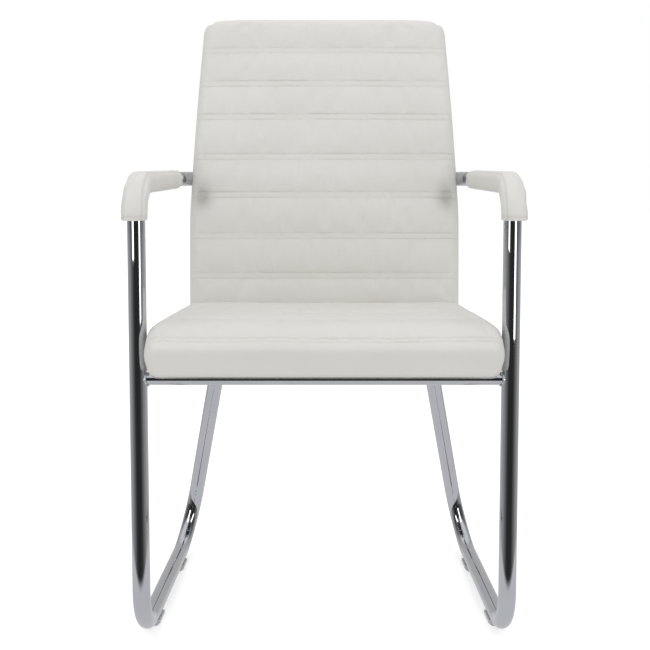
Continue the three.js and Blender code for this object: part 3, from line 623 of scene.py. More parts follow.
@dataclass(frozen=True)
class Datum:
    """Places that the sub-assemblies share."""

    leg_plane: float = sum(corner.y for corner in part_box("front_cross_tube")) / 2
    tube_radius: float = 12.5 * MM
    tube_wall: float = 1.5 * MM
    leg_x: float = 257.5 * MM
    arm_height: float = 652 * MM
    arm_front_bend: float = 45 * MM
    seat_slope: float = math.radians(3.5)
    seat_datum: float = 389 * MM
    clearance: float = 0.3 * MM

    def seat_place(self, x: float, depth: float, height: float) -> Vector:
        """A point of the seat's own plane in the chair's frame."""
        cos, sin = math.cos(self.seat_slope), math.sin(self.seat_slope)
        return Vector((
            x,
            self.leg_plane + depth * cos + height * sin,
            self.seat_datum - depth * sin + height * cos,
        ))


DATUM = Datum()


@dataclass(frozen=True)
class BackLine:
    """The back's middle line in the side view, measured from the leg plane."""

    foot: Pair = (448 * MM, 387 * MM)
    top: Pair = (556 * MM, 938 * MM)
    foot_lean: float = math.radians(1.5)
    top_lean: float = math.radians(19)
    foot_pull: float = 0.5
    top_pull: float = 0.35
    board_front: float = -14.7 * MM

    def curve(self) -> PlaneCurve:
        """The curve in the chair's frame."""
        chord = math.dist(self.foot, self.top)
        foot = (self.foot[0] + DATUM.leg_plane, self.foot[1])
        top = (self.top[0] + DATUM.leg_plane, self.top[1])
        lower, upper = chord * self.foot_pull, chord * self.top_pull
        return PlaneCurve.cubic([
            foot,
            (foot[0] + lower * math.sin(self.foot_lean), foot[1] + lower * math.cos(self.foot_lean)),
            (top[0] - upper * math.sin(self.top_lean), top[1] - upper * math.cos(self.top_lean)),
            top,
        ])

    def arm_place(self) -> Pair:
        """Distance along the curve, and depth, of the arm tube's axis inside the back."""
        curve = self.curve()
        offset = self.board_front + DATUM.clearance + DATUM.tube_radius
        reach = np.linspace(0, curve.length, curve.SAMPLES)
        heights = np.array([curve.off(distance, offset)[1] for distance in reach])
        distance = float(np.interp(DATUM.arm_height, heights, reach))
        return distance, curve.off(distance, offset)[0]


BACK_CURVE = BackLine().curve()
ARM_DISTANCE, ARM_REAR_Y = BackLine().arm_place()


# Side frames and cross tubes

@dataclass
class SideFrames:
    """The two bent tubes, each an arm, a front leg, a runner and a rear leg."""

    sides_round: int = 48
    bend_steps: int = 22
    arm_rear_bend: float = 40 * MM
    arm_end_reach: float = 105 * MM
    sled_front_bend: float = 65 * MM
    sled_rear_bend: float = 70 * MM
    sled_depth: float = 436 * MM
    sled_rear_inset: float = 13.5 * MM
    rear_leg_top_inset: float = 88 * MM
    rear_leg_top_depth: float = 270 * MM
    runner_height: float = 15 * MM
    ring_pitch: float = 30 * MM
    # depth past which the arm's end gets painted shade and dark reflection
    smudge_depth: float = 365 * MM
    tolerance: float = 1 * MM

    def corners(self, side: Side) -> list[RouteCorner]:
        """Corners of a side frame's centre line, from the end inside the back to the top of the rear leg."""
        def at(x: float, y: float, z: float) -> Vector:
            return Vector((side.value * x, y, z))

        foot = at(DATUM.leg_x - self.sled_rear_inset, DATUM.leg_plane + self.sled_depth, self.runner_height)
        top = self.rear_leg_top(side)
        return [
            RouteCorner(at(DATUM.leg_x - self.arm_end_reach, ARM_REAR_Y, DATUM.arm_height)),
            RouteCorner(at(DATUM.leg_x, ARM_REAR_Y, DATUM.arm_height), self.arm_rear_bend),
            RouteCorner(at(DATUM.leg_x, DATUM.leg_plane, DATUM.arm_height), DATUM.arm_front_bend),
            RouteCorner(at(DATUM.leg_x, DATUM.leg_plane, self.runner_height), self.sled_front_bend),
            RouteCorner(foot, self.sled_rear_bend),
            RouteCorner(top + (top - foot).normalized() * 2 * DATUM.tube_radius),
        ]

    def rear_leg_top(self, side: Side) -> Vector:
        """Where the rear leg's axis meets the seat's plane."""
        x = side.value * (DATUM.leg_x - self.rear_leg_top_inset)
        return DATUM.seat_place(x, self.rear_leg_top_depth, 0)

    def smudge(self, bender: TubeBender) -> None:
        """Marks the straight end of the arm, behind the sleeve, for painted shade and dark reflection."""
        low, inner = DATUM.arm_height - self.tolerance, DATUM.leg_x - self.tolerance
        for centre, _, ring in bender.rings:
            if abs(centre.x) > inner and centre.y > DATUM.leg_plane + self.smudge_depth and centre.z > low:
                for vert in ring:
                    # painted shade and dark reflection: this end's chrome turns near-black in mottled spots
                    vert[bender.crease] = 1.0

    def tube(self, side: Side) -> bpy.types.Object:
        """One hollow tube, with its rear leg cut off flush under the seat."""
        bender = TubeBender.along(
            self.corners(side), DATUM.tube_radius, self.sides_round, self.bend_steps, self.ring_pitch
        )
        self.smudge(bender)
        bm, diameter = bender.bm, 2 * DATUM.tube_radius
        bmesh.ops.recalc_face_normals(bm, faces=bm.faces)
        near = [
            vert for vert in bm.verts
            if abs(vert.co.x) < DATUM.leg_x - diameter and vert.co.z < DATUM.seat_datum + diameter
            and abs(vert.co.y - self.rear_leg_top(side).y) < 3 * diameter
        ]
        joined = {part for vert in near for part in (*vert.link_edges, *vert.link_faces)}
        corner = DATUM.seat_place(0, 0, 0)
        up = DATUM.seat_place(0, 0, 1) - corner
        bmesh.ops.bisect_plane(bm, geom=near + list(joined), plane_co=corner, plane_no=up, clear_outer=True)
        bmesh.ops.solidify(bm, geom=list(bm.faces), thickness=DATUM.tube_wall)
        return finished(f"side_tube_{side.label}", bm)

    def build(self, finishes: Finishes) -> None:
        """Makes both side frames."""
        for side in Side:
            finishes.settle(self.tube(side), Slot.CHROME, f"side_frame_{side.label}")


@dataclass
class CrossTubes:
    """Round tubes welded between the front legs and between the rear legs, with their weld beads."""

    frames: SideFrames
    radius: float = 8 * MM
    wall: float = 1.5 * MM
    front_height: float = 381 * MM
    rear_drop: float = 34 * MM
    sides_round: int = 40
    bead_radius: float = 1.7 * MM
    bead_sides: int = 10
    bead_ripples: int = 26
    bead_ripple: float = 0.3 * MM
    bead_lift_share: float = 0.3
    bead_inward_share: float = 0.4

    def leg_line(self, name: str, side: Side) -> tuple[Vector, Vector]:
        """A point on the leg that a cross tube meets, and the leg's direction."""
        if name == "front":
            return Vector((side.value * DATUM.leg_x, DATUM.leg_plane, self.front_height)), Z_AXIS.copy()
        top, foot = self.frames.rear_leg_top(side), self.frames.corners(side)[4].point
        return top.lerp(foot, self.rear_drop / (top.z - foot.z)), (top - foot).normalized()

    def cope(self, place: Vector, name: str, side: Side) -> float:
        """Place along X at which a line through a place meets the leg's surface, on its inner side."""
        point, along = self.leg_line(name, side)
        offset = place - point
        offset.x = 0
        direction = X_AXIS - along * along.x
        gap = offset - along * offset.dot(along)
        a, b = direction.length_squared, 2 * direction.dot(gap)
        c = gap.length_squared - DATUM.tube_radius ** 2
        root = math.sqrt(max(b * b - 4 * a * c, 0))
        return point.x + (-b - side.value * root) / (2 * a)

    def tube(self, name: str) -> bpy.types.Object:
        """A cross tube with ends that fit the legs."""
        right, _ = self.leg_line(name, Side.RIGHT)
        bender = TubeBender(Vector((-right.x, right.y, right.z)), X_AXIS, self.radius, self.sides_round)
        bender.run(2 * right.x)
        solid_shell(bender.bm, self.wall)
        for vert in bender.bm.verts:
            vert.co.x = self.cope(vert.co, name, Side.RIGHT if vert.co.x > 0 else Side.LEFT)
        return finished(f"cross_tube_{name}", bender.bm)

    def bead(self, name: str, side: Side) -> bpy.types.Object:
        """A rippled weld bead round the end of a cross tube."""
        centre, _ = self.leg_line(name, side)
        bm = bmesh.new()
        start = centre + Z_AXIS * (self.radius + self.bead_lift_share * self.bead_radius)
        made = bmesh.ops.create_circle(
            bm, cap_ends=False, radius=self.bead_radius, segments=self.bead_sides,
            matrix=Matrix.Translation(start) @ Matrix.Rotation(math.pi / 2, 4, "X"),
        )
        bmesh.ops.spin(
            bm, geom=list(bm.edges) + made["verts"], cent=centre, axis=X_AXIS, angle=2 * math.pi,
            steps=4 * self.bead_ripples, use_merge=True,
        )
        bmesh.ops.remove_doubles(bm, verts=bm.verts, dist=0.02 * MM)
        bmesh.ops.recalc_face_normals(bm, faces=bm.faces)
        for vert in bm.verts:
            radial = Vector((0, vert.co.y - centre.y, vert.co.z - centre.z))
            ripple = self.bead_ripple * math.cos(self.bead_ripples * math.atan2(radial.z, radial.y))
            radial.normalize()
            vert.co.x += self.cope(centre + radial * self.radius, name, side) - centre.x
            vert.co += radial * ripple / 2
            vert.co.x -= side.value * (ripple + self.bead_inward_share * self.bead_radius)
        return finished(f"weld_{name}_{side.label}", bm)

    def build(self, finishes: Finishes) -> None:
        """Makes both tubes and the four beads."""
        for name in ("front", "rear"):
            finishes.settle(self.tube(name), Slot.CHROME, f"{name}_cross_tube")
            for side in Side:
                finishes.settle(self.bead(name, side), Slot.CHROME)


# Upholstery

def noise_over(x: np.ndarray, s: np.ndarray, size: Pair, layer: float) -> np.ndarray:
    """Noise over a form's face.

    Args:
        x: places across.
        s: places along.
        size: size of the blotches across and along.
        layer: which noise.

    Returns:
        A value from about -1 to 1 for each place.
    """
    return np.array([noise.noise(Vector((a / size[0], b / size[1], layer))) for a, b in zip(x, s)])


@dataclass
class Padding:
    """A padded form over a plane curve: two bridged grids, swelled as cloth between the seams."""

    name: str
    curve: PlaneCurve
    half_width: Callable[[float], float]
    thickness: float
    crown: float
    puff: float
    seams: Sequence[float]
    edge_radius: float
    rear_radius: float
    start_corner: float
    end_corner: float
    pocket_margin: float
    pocket_depth: float
    seam_gap: float = 10 * MM
    seam_depth: float = 1.1 * MM
    seam_shade: float = 0.45
    roll_share: float = 0.35
    end_arch: float = 0.0
    rise: float = 0.0
    rise_start: float = 16 * MM
    rise_reach: float = 32 * MM
    side_bulge: float = 0.0
    dents: Sequence[Pair] = ()
    dent_depth: float = 9 * MM
    dent_size: Pair = (15 * MM, 20 * MM)
    dent_shade: float = 1.3
    row_pitch: float = 9 * MM
    column_pitch: float = 5.5 * MM
    turn_steps: int = 5
    side_cuts: int = 4
    pressure: float = 4.0
    cap: float = 4 * MM
    fill: float = 0.75

    FRAMES = 20
    FACE, REAR = 0.999, -0.999
    NO_STITCHES = (10.0,)
    ROWS_BY_STITCH = (-2.5 * MM, -1.1 * MM, 0.0, 1.1 * MM, 2.5 * MM)
    LEAST_GAP = 0.4 * MM
    POCKET_STEP = 0.5 * MM
    FREE_SHARE, BY_STITCH = 0.5, 0.3 * MM
    FLOOR_FROM_END, FLOOR_FROM_SIDE = 0.4 * MM, 2 * MM
    LAYER_FULLNESS, MIDDLE_FULLNESS = 0.35, 0.5
    GROOVE_REACH, PUCKER_REACH = 1.3 * MM, 9 * MM
    PUCKER_SIZE, PULL_SIZE, WAVE_SIZE = (6 * MM, 45 * MM), (70 * MM, 30 * MM), 85 * MM
    PUCKER_DEPTH, WAVE_DEPTH, PUCKER_SHADE = 0.35 * MM, 0.9 * MM, 0.06
    MEAN_PULL, LEAST_PULL = 0.6, 0.12

    def graded(self, length: float, pitch: float, extra: Sequence[float]) -> list[float]:
        """Places along a length: close at both round edges and at extra places, even elsewhere.

        Args:
            length: the whole length.
            pitch: greatest distance between places.
            extra: places that must be among them.

        Returns:
            The places in order.
        """
        quarter = [math.pi / 2 * i / self.turn_steps for i in range(self.turn_steps + 1)]
        ends = [self.edge_radius * (1 - math.cos(angle)) for angle in quarter]
        ends += [self.pocket_margin - self.POCKET_STEP, self.pocket_margin + self.POCKET_STEP]
        fixed = sorted({*ends, *(length - end for end in ends), *extra})
        places = [fixed[0]]
        for place in fixed[1:]:
            start, gap = places[-1], place - places[-1]
            if gap >= self.LEAST_GAP:
                cuts = max(1, math.ceil(gap / pitch))
                places += [start + gap * (i + 1) / cuts for i in range(cuts)]
        return places

    def stitch_lines(self) -> list[float]:
        """Distances along the curve at which a line of stitches crosses the face."""
        return [seam + sign * self.seam_gap / 2 for seam in self.seams for sign in (-1, 1)]

    def relief(self, distance: float) -> float:
        """Height of the face over its base: swelled channels, and small rolls between paired stitches."""
        lines = [0.0, *self.stitch_lines(), self.curve.length]
        index = int(np.searchsorted(lines, distance, side="right")) - 1
        index = min(max(index, 0), len(lines) - 2)
        low, high = lines[index], lines[index + 1]
        share = (distance - low) / (high - low)
        channel = 4 * share * (1 - share)
        if high - low < 2 * self.seam_gap:
            return self.roll_share * self.seam_depth * channel
        return self.puff * channel ** 0.6

    def outline_place(self, x: float, distance: float) -> tuple[float, float, float]:
        """Rounds the corners of the flat outline.

        Args:
            x: place across the width.
            distance: place along the curve.

        Returns:
            The rounded place across and along, and the distance in from the outline.
        """
        half, length = self.half_width(distance), self.curve.length
        x = x * half / self.half_width(0.0)
        distance -= self.end_arch * (abs(x) / half) ** 4 * (distance / length) ** 6
        at_start = distance < length / 2
        corner = self.start_corner if at_start else self.end_corner
        ds = corner - distance if at_start else distance - (length - corner)
        dx, ds, inside = corner_round(abs(x) - (half - corner), ds, corner)
        return math.copysign(half - corner + dx, x), corner - ds if at_start else length - corner + ds, inside

    def rise_at(self, distance: float) -> float:
        """How much fuller the form gets behind its first seam."""
        share = clamped((distance - self.rise_start) / self.rise_reach)
        return self.rise * share * (2 - share)

    def offset(self, x: float, distance: float, inside: float, layer: float) -> float:
        """Offset of a point of the form from the curve.

        Args:
            x: place across.
            distance: place along the curve.
            inside: distance in from the outline.
            layer: from the rear, -1, to the face, 1.

        Returns:
            The offset, towards the face.
        """
        def edge(radius: float) -> float:
            return radius - math.sqrt(radius ** 2 - max(radius - inside, 0) ** 2)

        half, rise = self.thickness / 2, self.rise_at(distance)
        if layer > self.FACE:
            across = x / self.half_width(distance)
            fade = min(inside / self.edge_radius, 1) ** 0.5
            swelled = self.crown * (1 - across ** 2) + self.relief(distance) * (1 - across ** 10)
            return half + rise - edge(self.edge_radius) + fade * swelled
        if layer < self.REAR:
            pocket = self.pocket_depth if inside > self.pocket_margin else 0
            return edge(self.rear_radius) - half + pocket
        face_rim, rear_rim = half - self.edge_radius + rise, -half + self.rear_radius
        return rear_rim + (face_rim - rear_rim) * (layer + 1) / 2

    def place(self, x: float, distance: float, layer: float) -> Vector:
        """The point of the form for a flat place and a layer."""
        x, distance, inside = self.outline_place(x, distance)
        inside = max(inside, 0.0)
        depth, height = self.curve.off(distance, self.offset(x, distance, inside, layer))
        fullness = self.LAYER_FULLNESS * (1 + layer) + self.MIDDLE_FULLNESS * (1 - layer ** 2)
        x += math.copysign(self.side_bulge * fullness * math.exp(-inside / self.edge_radius), x)
        return Vector((x, depth, height))

    def shell(self) -> bmesh.types.BMesh:
        """The closed form before it swells, with an attribute that says which vertices are held."""
        near = [line + step for line in self.stitch_lines() for step in self.ROWS_BY_STITCH]
        rows = np.array(self.graded(self.curve.length, self.row_pitch, near))
        width = 2 * self.half_width(0.0)
        columns = np.array(self.graded(width, self.column_pitch, ())) - width / 2
        last_column, last_row = len(columns) - 1, len(rows) - 1
        bm = bmesh.new()
        for layer in (1.0, -1.0):
            lift = Matrix.Translation((0, 0, layer))
            bmesh.ops.create_grid(bm, x_segments=last_column, y_segments=last_row, size=0.5, matrix=lift)
        bmesh.ops.bridge_loops(bm, edges=[edge for edge in bm.edges if edge.is_boundary])
        spans = [edge for edge in bm.edges if abs(edge.verts[0].co.z - edge.verts[1].co.z) > 1]
        bmesh.ops.subdivide_edges(bm, edges=spans, cuts=self.side_cuts, use_grid_fill=True)
        stitches = np.array(self.stitch_lines() or self.NO_STITCHES)
        held = bm.verts.layers.float.new("held")
        column_of = {}
        for vert in bm.verts:
            column, row, layer = (vert.co.x + 0.5) * last_column, (vert.co.y + 0.5) * last_row, vert.co.z
            x = float(np.interp(column, range(len(columns)), columns))
            distance = float(np.interp(row, range(len(rows)), rows))
            inside = self.outline_place(x, distance)[2]
            from_stitch = abs(stitches - distance).min()
            clear = inside > self.FREE_SHARE * self.edge_radius and from_stitch > self.BY_STITCH
            vert[held] = 0.0 if clear and layer > self.FACE else 1.0
            from_end = min(distance, self.curve.length - distance) - self.pocket_margin
            from_side = self.half_width(distance) - abs(x) - self.pocket_margin
            if layer < self.REAR and from_end > self.FLOOR_FROM_END and from_side > self.FLOOR_FROM_SIDE:
                column_of[vert] = round(column)
            vert.co = self.place(x, distance, layer)
        across = []
        for edge in bm.edges:
            columns_met = {column_of.get(vert) for vert in edge.verts}
            if len(columns_met) == 1 and None not in columns_met:
                across.append(edge)
        bmesh.ops.dissolve_edges(bm, edges=across, use_verts=True)
        bmesh.ops.recalc_face_normals(bm, faces=bm.faces)
        return bm

    def swell(self, piece: bpy.types.Object) -> None:
        """Swells the face as cloth held at its stitches and edges, and caps how far each point moves."""
        mesh = piece.data
        before = np.array([vert.co for vert in mesh.vertices])
        group = piece.vertex_groups.new(name="held")
        group.add([i for i, item in enumerate(mesh.attributes["held"].data) if item.value], 1.0, "REPLACE")
        cloth = piece.modifiers.new("swell", "CLOTH")
        settings = cloth.settings
        settings.quality = 3
        settings.vertex_group_mass = "held"
        settings.use_pressure = True
        settings.uniform_pressure_force = self.pressure
        settings.effector_weights.gravity = 0
        settings.tension_stiffness = settings.compression_stiffness = 12
        settings.bending_stiffness = 1.5
        settings.shrink_min = -0.012
        cloth.collision_settings.use_collision = False
        cloth.point_cache.frame_start, cloth.point_cache.frame_end = 1, self.FRAMES
        for step in range(1, self.FRAMES + 1):
            bpy.context.scene.frame_set(step)
        shown = piece.evaluated_get(bpy.context.evaluated_depsgraph_get())
        move = np.array([vert.co for vert in shown.data.vertices]) - before
        piece.modifiers.remove(cloth)
        piece.vertex_groups.remove(group)
        bpy.context.scene.frame_set(1)
        reach = np.linalg.norm(move, axis=1)
        move *= np.minimum(1, self.cap / np.maximum(reach, 1e-9))[:, None]
        log.info("%s swelled by up to %.1f mm", piece.name, reach.max() / MM)
        mesh.vertices.foreach_set("co", (before + move).astype(np.float32).ravel())
        mesh.update()

    def refine(self, piece: bpy.types.Object) -> None:
        """Subdivides the form once and adds the puckers along the stitches, the creases and the soft waves, and
        paints shade into the seams, by the stitches and in the dents.
        """
        smooth = piece.modifiers.new("smooth", "SUBSURF")
        smooth.levels = smooth.render_levels = 1
        fine = bpy.data.meshes.new_from_object(piece.evaluated_get(bpy.context.evaluated_depsgraph_get()))
        piece.modifiers.remove(smooth)
        piece.data = fine
        fine.name = piece.name
        places, normals = np.zeros((2, len(fine.vertices) * 3))
        fine.vertices.foreach_get("co", places)
        fine.vertices.foreach_get("normal", normals)
        places, normals = places.reshape(-1, 3), normals.reshape(-1, 3)
        coarse = self.curve.places[::8]
        nearest = np.argmin(np.linalg.norm(places[:, None, 1:] - coarse, axis=2), axis=1) * 8
        tangent = self.curve.tangents[nearest]
        past = np.einsum("ij,ij->i", places[:, 1:] - self.curve.places[nearest], tangent)
        x, distance = places[:, 0], self.curve.distances[nearest] + past
        lines = np.array(self.stitch_lines() or self.NO_STITCHES)
        from_line = np.abs(distance[:, None] - lines).min(axis=1)
        facing = np.clip(-(normals[:, 1] * tangent[:, 1] - normals[:, 2] * tangent[:, 0]), 0, 1)
        pucker = noise_over(x, distance, self.PUCKER_SIZE, 0.0)
        wave = np.array([noise.noise(Vector(place) / self.WAVE_SIZE) for place in places])
        pull = np.maximum(self.MEAN_PULL + noise_over(x, distance, self.PULL_SIZE, 4.0), self.LEAST_PULL)
        groove = pull * np.exp(-(from_line / self.GROOVE_REACH) ** 2)
        near = np.exp(-from_line / self.PUCKER_REACH)
        height = self.PUCKER_DEPTH * pucker * near + self.WAVE_DEPTH * wave - self.seam_depth * groove
        # painted shade: darker in the seams' grooves, by the stitches and in any dents, which on the back lie
        # below the arms where their shadow falls
        painted_darkening = self.seam_shade * groove + self.PUCKER_SHADE * near
        for dent_x, dent_distance in self.dents:
            across = (np.abs(x) - dent_x) / self.dent_size[0]
            along = (distance - dent_distance) / self.dent_size[1]
            dent = np.exp(-across ** 2 - along ** 2)
            height -= self.dent_depth * dent
            painted_darkening += self.dent_shade * dent
        moved = places + normals * (facing * height)[:, None]
        fine.vertices.foreach_set("co", moved.astype(np.float32).ravel())
        # the painted shade goes to an attribute that the leather reads
        crease = fine.attributes.new("crease", "FLOAT", "POINT")
        crease.data.foreach_set("value", (facing * painted_darkening).astype(np.float32))
        fine.shade_smooth()
        fine.update()

    def build(self) -> bpy.types.Object:
        """Makes the finished form, which swells if it has seams."""
        piece = finished(self.name, self.shell())
        if self.seams:
            self.swell(piece)
        self.refine(piece)
        return piece


@dataclass
class Stitching:
    """Rows of short stitches sunk in the leather."""

    name: str
    pitch: float = 3.8 * MM
    length: float = 2.5 * MM
    radius: float = 0.34 * MM
    lift_share: float = 0.15
    places: list[Matrix] = field(default_factory=list)

    def sew(self, tree: BVHTree, line: Sequence[tuple[Vector, Vector]]) -> None:
        """Lays stitches along a line.

        Args:
            tree: the leather, on which rays find the stitches' places.
            line: points over the leather, each with the direction down to it.
        """
        hits = [tree.ray_cast(point, direction) for point, direction in line]
        places = [(hit[0], hit[1]) for hit in hits if hit[0] is not None]
        travelled, due = 0.0, self.pitch / 2
        for (start, normal), (end, _) in zip(places, places[1:]):
            span = (end - start).length
            while span and due <= travelled + span:
                self.stitch(start.lerp(end, (due - travelled) / span), (end - start) / span, normal)
                due += self.pitch
            travelled += span

    def stitch(self, place: Vector, along: Vector, normal: Vector) -> None:
        """Notes the place of one stitch, which lies along the line."""
        across = normal.cross(along).normalized()
        turn = Matrix((along, across, along.cross(across))).transposed().to_4x4()
        scale = Matrix.Diagonal((self.length / 2, self.radius, self.radius, 1))
        self.places.append(Matrix.Translation(place + normal * self.lift_share * self.radius) @ turn @ scale)

    def object(self) -> bpy.types.Object:
        """The finished rows: a small drawn out ball at each place."""
        ball = bmesh.new()
        bmesh.ops.create_uvsphere(ball, u_segments=6, v_segments=4, radius=1)
        ball.verts.index_update()
        points = np.array([(*vert.co, 1.0) for vert in ball.verts])
        faces = [[vert.index for vert in face.verts] for face in ball.faces]
        ball.free()
        every = np.concatenate([points @ np.array(place).T for place in self.places])[:, :3]
        loops = [[index + len(points) * i for index in face] for i in range(len(self.places)) for face in faces]
        mesh = bpy.data.meshes.new(self.name)
        mesh.from_pydata(every.tolist(), [], loops)
        mesh.shade_smooth()
        return linked(self.name, mesh)


class Cushion:
    """A padded form in leather, with stitches along its seams."""

    area: str
    STITCH_INSET_SHARE = 0.35
    RAYS = 120

    def padding(self) -> Padding:
        """The form of the cushion."""
        raise NotImplementedError

    def build(self, finishes: Finishes) -> None:
        """Makes the cushion and its stitches."""
        form = self.padding()
        piece = form.build()
        finishes.settle(piece, Slot.LEATHER, f"{self.area}_cushion")
        tree = BVHTree.FromObject(piece, bpy.context.evaluated_depsgraph_get())
        stitching = Stitching(f"{self.area}_stitching")
        for distance in form.stitch_lines():
            half = form.half_width(distance) - self.STITCH_INSET_SHARE * form.edge_radius
            down = -form.curve.normal(distance)
            over = form.curve.off(distance, 2 * form.thickness)
            stitching.sew(tree, [(Vector((x, *over)), down) for x in np.linspace(-half, half, self.RAYS)])
        finishes.settle(stitching.object(), Slot.LEATHER, sewn=True)


@dataclass
class SeatPad(Cushion):
    """The seat cushion: a boxed pad with cross channels and a double stitched front edge."""

    area: str = "seat"
    width: float = 481 * MM
    front_reach: float = 50 * MM
    rear_depth: float = 417 * MM
    thickness: float = 54 * MM
    rim_lift: float = 3 * MM
    front_drop: float = 6 * MM
    drop_share: float = 0.36
    edge_seam: float = 12 * MM
    seam_pitch: float = 117 * MM
    seam_count: int = 3

    def curve(self) -> PlaneCurve:
        """The pad's middle line, along the seat's plane and down at the front."""
        middle = self.rim_lift + self.thickness / 2
        flat = [
            (-self.front_reach, middle - self.front_drop),
            (-self.front_reach * (1 - self.drop_share), middle),
            (self.rear_depth * self.drop_share, middle),
            (self.rear_depth, middle),
        ]
        return PlaneCurve.cubic([DATUM.seat_place(0, depth, height)[1:] for depth, height in flat])

    def padding(self) -> Padding:
        """The form of the pad."""
        return Padding(
            name="seat_pad", curve=self.curve(), half_width=lambda distance: self.width / 2,
            thickness=self.thickness, crown=-1.5 * MM, puff=2 * MM, pressure=2.0, cap=2 * MM,
            seams=[self.edge_seam, *(self.seam_pitch * (i + 1) for i in range(self.seam_count))],
            rise=14 * MM, side_bulge=3.9 * MM, edge_radius=15 * MM, rear_radius=14 * MM,
            start_corner=17 * MM, end_corner=14 * MM, pocket_margin=23 * MM, pocket_depth=15.5 * MM,
        )


@dataclass
class BackPad(Cushion):
    """The back cushion over its curved board."""

    area: str = "back"
    half_width: float = 239.5 * MM
    top_inset: float = 19.5 * MM
    taper_start: float = 0.35
    thickness: float = 50 * MM
    seams: tuple = tuple(seam * MM for seam in (93.5, 162.5, 234, 300.5, 372, 434, 498))
    dent_inset: float = 21 * MM
    dent_drop: float = 37 * MM

    def half_at(self, distance: float) -> float:
        """Half width at a distance up the back."""
        start = BACK_CURVE.length * self.taper_start
        return self.half_width - self.top_inset * clamped((distance - start) / (BACK_CURVE.length - start))

    def padding(self) -> Padding:
        """The form of the cushion."""
        return Padding(
            name="back_pad", curve=BACK_CURVE, half_width=self.half_at, thickness=self.thickness,
            crown=3 * MM, puff=1.1 * MM, seam_depth=0.65 * MM, seam_shade=0.3, pressure=2.2, cap=2.5 * MM,
            seams=self.seams, edge_radius=16 * MM, rear_radius=10 * MM, start_corner=14 * MM,
            end_corner=28 * MM, pocket_margin=21 * MM, pocket_depth=10.6 * MM, end_arch=12 * MM,
            dents=[(self.half_width - self.dent_inset, ARM_DISTANCE - self.dent_drop)],
        )


@dataclass
class RearPanel:
    """Thin upholstered panel that closes the back from behind."""

    pad: BackPad
    thickness: float = 8 * MM
    margin: float = 14 * MM
    corner: float = 26 * MM
    gap: float = 0.3 * MM

    def build(self, finishes: Finishes) -> None:
        """Makes the panel."""
        middle = -self.pad.thickness / 2 - self.gap - self.thickness / 2
        form = Padding(
            name="rear_panel", curve=BACK_CURVE.beside(middle, self.margin),
            half_width=lambda distance: self.pad.half_at(distance + self.margin) - self.margin,
            thickness=self.thickness, crown=0.0, puff=0.0, seams=(), edge_radius=3 * MM,
            rear_radius=3.5 * MM, start_corner=self.corner, end_corner=self.corner,
            pocket_margin=40 * MM, pocket_depth=0.0, side_cuts=2, turn_steps=3,
            row_pitch=14 * MM, column_pitch=14 * MM, fill=0.4,
        )
        finishes.settle(form.build(), Slot.LEATHER, "back_rear_panel")


